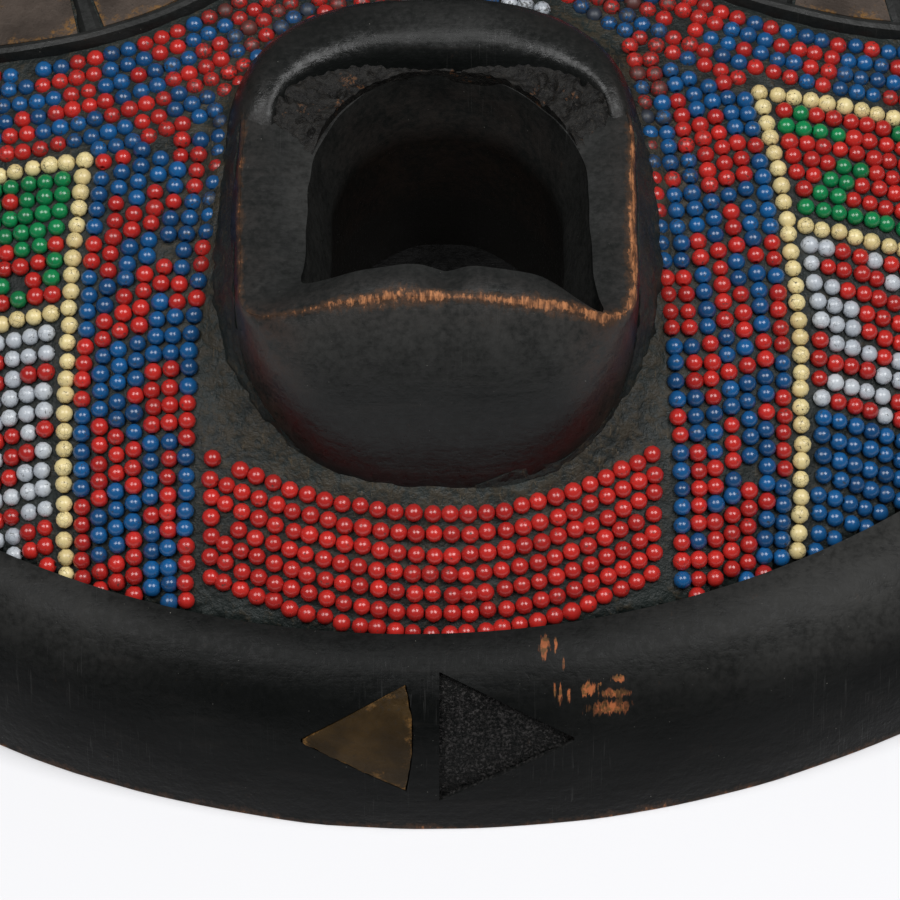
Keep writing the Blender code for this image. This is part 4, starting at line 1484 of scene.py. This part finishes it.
def scratch_lines(look, place):
    """Fine scratches in four directions, gathered in patches."""
    lines = []
    for turn, wide in ((1.42, 2200), (1.70, 2000), (1.15, 2100), (2.3, 2400)):
        line = look.noise(look.at((wide, 60, 60), (0.2 * turn, 0.2, turn)), 1.0, 2, 0.5, 0.8)
        lines.append(look.step(line, 0.67, 0.73))
    return look.most(*lines) * look.step(look.noise(place, 30, 3, 0.6), 0.50, 0.68)


def stains_shade_and_sheen(look, paint, facing, cover):
    """The paint with painted shade deep in the mouth, pale chalk and painted sheen on the rim's shoulder, the
    lower lip and the opening's bevel, and rubbed corners.
    """
    # Painted shade: the mouth's deep walls darkened, and their upward-facing floor made nearly black.
    deep = look.carried("deep")
    floor = deep * look.step(facing, 0.60, 0.95)
    # Pale chalk, partly dust and partly painted sheen.
    chalk_and_sheen = look.carried("chalk_and_sheen") * look.step(cover, 0.32, 0.62, 0.35)
    rubbed = look.carried("rub") * look.step(cover, 0.38, 0.60)
    return look.coats(paint,
                      (deep * 0.7, (0.0062, 0.0052, 0.0044)),
                      (floor * 0.9, (0.0008, 0.0008, 0.0008)),
                      (chalk_and_sheen * 0.60, (0.042, 0.0415, 0.0395)),
                      (rubbed * 0.75, (0.034, 0.0175, 0.0120)))


def wood_material(name, gloss, painted_shade, dust_and_sheen):
    """Black paint over carved wood, scratched, dusty and worn through along the edges; pale dust on upward
    faces also serves as painted sheen, the mouth's inside is darkened as painted shade, and the rim's paint
    is darkened all over as painted shade.
    """
    look = Look(name)
    place = look.at()
    middle = look.noise(place, 130, 4, 0.6)
    fine = look.noise(place, 620, 4, 0.65)
    grain = look.noise(look.at((16, 240, 240)), 1.0, 5, 0.6)
    cover = middle * 0.5 + fine * 0.5
    normal = look.node("ShaderNodeNewGeometry", {}, "Normal")
    facing = look.node("ShaderNodeSeparateXYZ", {"Vector": normal}, "Z")
    # Pale dust on upward-facing surfaces: partly real dust, partly painted sheen where the lamps fall on the
    # tops.
    dust = look.step(facing, 0.50, 0.95) * look.step(cover, 0.28, 0.66, 0.35)
    dust = dust * look.step(look.carried("polish"), 0.0, 1.0, 1.0, 0.50)
    scratches = scratch_lines(look, place)
    grit = look.step(look.noise(place, 1500, 3, 0.7), 0.42, 0.62) * look.carried("pitted")

    paint = look.blend(look.step(look.noise(place, 24, 4), 0.35, 0.7),
                       (0.0036, 0.0042, 0.0040), (0.0068, 0.0074, 0.0071))
    paint = look.coats(paint,
                       (look.step(grain, 0.55, 0.75), (0.0105, 0.0102, 0.0095)),
                       # For the rim: the paint darkened towards black as painted shade.
                       (painted_shade, (0.0012, 0.0013, 0.0013)),
                       (dust * dust_and_sheen, (0.034, 0.0345, 0.0335)),
                       (scratches * 0.26, (0.062, 0.062, 0.060)),
                       (look.step(look.noise(place, 1700, 1), 0.80, 0.84) * 0.5, (0.30, 0.29, 0.26)),
                       (grit * 0.85, (0.036, 0.034, 0.033)))
    paint = stains_shade_and_sheen(look, paint, facing, cover)

    strokes = look.noise(look.at((1500, 260, 260), (0.1, 0.1, 0.15)), 1.0, 3, 0.6)
    scraped = look.noise(look.at((800, 420, 420), (0.1, 0.1, 0.15)), 1.0, 4, 0.7)
    worn = look.carried("wear") + ((scraped - 0.5) * 1.6 + (middle - 0.5) * 1.3)
    bare = look.blend(look.step(strokes, 0.35, 0.70), (0.070, 0.030, 0.014), (0.400, 0.165, 0.068))
    bared = look.step(worn, 0.80, 1.12)
    colour = look.coats(paint, (look.step(worn, 0.34, 0.80) * 0.65, (0.052, 0.028, 0.016)), (bared, bare))
    if name == "rim_wood":
        fresh = look.blend(look.step(fine, 0.42, 0.58), (0.130, 0.062, 0.024), (0.34, 0.105, 0.040))
        colour = look.blend(chin_marks(look, strokes), colour, fresh)
    rough = look.step(fine, 0.3, 0.7, 0.27, 0.42) + (bared + dust) * 0.16 - look.carried("polish") * 0.09
    return look.finish({
        "Base Color": colour, "Roughness": rough, "Specular IOR Level": gloss,
        "Normal": look.bumped((grain, 0.28, 0.0006), (middle, 0.25, 0.0012), (fine, 0.35, 0.0004),
                              (scratches, 0.2, 0.0003), (grit, 0.9, 0.0006))})


def mastic_material():
    """Dark, slightly greenish filler, lumpy and a little shiny, with brown dust and bits of thread."""
    look = Look("mastic")
    place = look.at()
    fine = look.noise(place, 1100, 4, 0.62)
    coarse = look.noise(place, 330, 4, 0.62)
    amount = look.carried("dust")
    dust = look.step(amount * 0.20 + coarse * 0.65 + fine * 0.35, 0.58, 0.74)
    threads = look.noise(look.at((1500, 170, 400), (0.2, 0.3, 0.7)), 1.0, 2, 0.5, 1.5)
    threads = look.step(threads, 0.66, 0.70) * amount
    colour = look.blend(look.step(look.noise(place, 60, 4), 0.35, 0.65),
                        (0.0060, 0.0085, 0.0080), (0.0115, 0.0160, 0.0148))
    colour = look.coats(colour, (dust * 0.72, (0.034, 0.0262, 0.0155)),
                        (threads * 0.6, (0.085, 0.062, 0.034)))
    return look.finish({
        "Base Color": colour, "Roughness": look.step(fine, 0.3, 0.7, 0.42, 0.62), "Specular IOR Level": 0.25,
        "Normal": look.bumped((coarse, 0.7, 0.0012), (fine, 0.5, 0.0004))})


def pitted_material():
    """Dark crumbling filler full of pits, with a few orange flecks of bare wood."""
    look = Look("pitted_filler")
    place = look.at()
    coarse = look.noise(place, 420, 4, 0.65)
    fine = look.noise(place, 1400, 4, 0.65)
    flecks = look.step(look.noise(place, 190, 3), 0.60, 0.68) * look.step(fine, 0.50, 0.58)
    colour = look.blend(look.step(coarse, 0.35, 0.65), (0.0036, 0.0034, 0.0032), (0.0100, 0.0094, 0.0084))
    colour = look.coats(colour, (look.step(fine, 0.55, 0.68), (0.0180, 0.0155, 0.0125)),
                        (flecks * 0.75, (0.115, 0.050, 0.020)))
    return look.finish({"Base Color": colour, "Roughness": 0.62, "Specular IOR Level": 0.2,
                        "Normal": look.bumped((coarse, 0.8, 0.0010), (fine, 0.6, 0.0004))})


def bead_material(name, colour, deep, crackled=0.0, roughness=0.20):
    """Opaque glossy glass with a tint of its own for each bead, flecks, cracks, and mastic smear with painted
    contact shade at its foot.
    """
    look = Look(name)
    place = look.at()
    fine = look.noise(place, 1300, 3, 0.6)
    dirt = look.carried("dirt")
    flecks = look.step(fine + dirt * 0.34, 0.66, 0.73)
    cracks = look.node("ShaderNodeTexVoronoi", {"Vector": place, "Scale": 900.0 if crackled else 520.0},
                       "Distance", feature="DISTANCE_TO_EDGE")
    where = look.step(look.noise(place, 330, 1), 0.58 - 0.12 * crackled, 0.66 - 0.12 * crackled)
    cracks = look.step(cracks, 0.035, 0.012) * where
    # Darker lower part next to the mastic: mastic smear and painted contact shade where the bead meets the
    # bed.
    foot = look.step(look.carried("up") + (fine - 0.5) * 0.9, -0.05, -0.35)
    film = dirt * look.step(look.noise(place, 500, 2), 0.3, 0.7)
    soil_and_shade = look.most(flecks * 0.85, cracks * (0.30 + 0.5 * crackled), foot * 0.85, film * 0.9)
    tinted = look.blend(look.carried("tint"), deep, colour)
    return look.finish({"Base Color": look.blend(soil_and_shade, tinted, (0.022, 0.020, 0.016)),
                        "Roughness": roughness + soil_and_shade * 0.35, "Normal": look.bumped((fine, 0.08, 0.0003))})


def brass_material(name, low, high, gold_share):
    """Old brass: brown-grey patina, golden along the edges, with dark stains."""
    look = Look(name)
    place = look.at()
    middle = look.noise(place, 260, 4, 0.62)
    fine = look.noise(place, 1100, 4, 0.65)
    edge = look.carried("edge") + (middle - 0.5) * 1.3
    gold = look.step(edge, 1.0 - gold_share, 1.30 - gold_share) * look.step(fine, 0.38, 0.58)
    colour = look.coats(look.blend(look.step(look.noise(place, 75, 4), 0.35, 0.65), low, high),
                        (gold * 0.85, (0.21, 0.105, 0.028)),
                        (look.step(fine, 0.56, 0.70) * 0.6, (0.022, 0.018, 0.014)))
    return look.finish({
        "Base Color": colour, "Metallic": 0.35, "Specular IOR Level": 0.2,
        "Roughness": look.step(fine, 0.3, 0.7, 0.42, 0.62),
        "Normal": look.bumped((middle, 0.2, 0.0008), (fine, 0.35, 0.0004))})


def make_materials():
    """All the materials of the mask."""
    return {
        "wood": wood_material("face_wood", 0.215, 0.0, 0.45),
        # The rim's paint: a darker copy of the face's paint as painted shade, with less gloss and less pale
        # dust.
        "rim_wood": wood_material("rim_wood", 0.08, 0.40, 0.12),
        "mastic": mastic_material(),
        "pitted": pitted_material(),
        "eye_brass": brass_material("eye_brass", (0.044, 0.034, 0.028), (0.080, 0.062, 0.051), 0.16),
        "chin_brass": brass_material("chin_brass", (0.020, 0.0118, 0.0038), (0.046, 0.0262, 0.0078), 0.10),
        "red_beads": bead_material("red_beads", (0.46, 0.021, 0.016), (0.30, 0.013, 0.011)),
        "blue_beads": bead_material("blue_beads", (0.007, 0.084, 0.235), (0.006, 0.044, 0.125)),
        "cream_beads": bead_material("cream_beads", (0.66, 0.55, 0.27), (0.54, 0.43, 0.20), 1.0, 0.3),
        "green_beads": bead_material("green_beads", (0.005, 0.19, 0.060), (0.004, 0.13, 0.042)),
        "white_beads": bead_material("white_beads", (0.44, 0.47, 0.50), (0.34, 0.37, 0.41), 0.6, 0.25),
    }


# The studio


def make_floor():
    """The white table that the mask lies on."""
    half = FLOOR_HALF
    floor = new_piece("floor", [(-half, -half, 0), (half, -half, 0), (half, half, 0), (-half, half, 0)],
                      [(0, 1, 2, 3)], floor_material())
    floor.location.z = -0.0002


def floor_material():
    """Plain white card."""
    return Look("floor").finish({"Base Color": (0.745, 0.745, 0.762, 1), "Roughness": 0.8,
                                 "Specular IOR Level": 0.1})


def add_light(name, place, watts):
    """A square soft box that looks at the mask."""
    data = bpy.data.lights.new(name, "AREA")
    data.shape = "RECTANGLE"
    data.size = LIGHT_SIZE
    data.size_y = LIGHT_SIZE
    data.energy = watts
    light = bpy.data.objects.new(name, data)
    light.location = place
    light.rotation_mode = "QUATERNION"
    light.rotation_quaternion = (LIGHT_AIM - Vector(place)).to_track_quat("-Z", "Y")
    bpy.context.scene.collection.objects.link(light)


def make_studio():
    """Two soft boxes above the mask's sides and white surroundings."""
    add_light("left_box", (-0.58, -0.50, 1.40), 15.8)
    add_light("right_box", (0.64, -0.45, 1.42), 19.2)
    world = bpy.data.worlds.new("studio")
    world.use_nodes = True
    sky = world.node_tree.nodes["Background"]
    sky.inputs["Color"].default_value = (1, 1, 1, 1)
    sky.inputs["Strength"].default_value = SKY_STRENGTH
    bpy.context.scene.world = world
    bpy.context.scene.view_settings.view_transform = "Standard"


def make_camera():
    """The camera, as far and as high as the photo's."""
    data = bpy.data.cameras.new("camera")
    data.sensor_width = 36
    data.lens = CAMERA_LENS
    data.clip_start = 0.05
    data.clip_end = 20
    back = Vector((0, -math.cos(CAMERA_HEIGHT), math.sin(CAMERA_HEIGHT)))
    camera = bpy.data.objects.new("camera", data)
    camera.location = CAMERA_AIM + back * CAMERA_FAR
    camera.rotation_mode = "QUATERNION"
    camera.rotation_quaternion = (-back).to_track_quat("-Z", "Y")
    bpy.context.scene.collection.objects.link(camera)
    bpy.context.scene.camera = camera


def main():
    """Dresses the mask."""
    materials = make_materials()

    wood = make_wood(materials["wood"], materials["rim_wood"])
    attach(wood, "root")
    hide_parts("mask_body")

    for make, look in ((make_mastic, "mastic"), (make_filler, "pitted"), (make_collar, "mastic")):
        filler = make(materials[look])
        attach(filler, "root")

    work = Beadwork()
    lay_columns(work)
    lay_chin(work)
    lay_strings(work)
    lay_under_eyes(work)
    lay_bands(work)
    lay_lip_string(work)
    lay_crown(work)
    lay_forehead(work)
    build_beads(work, materials)

    for side in SIDES:
        make_eye_plates(side, materials["eye_brass"])
    make_chin_triangle(materials["chin_brass"])

    make_floor()
    make_studio()
    make_camera()


main()
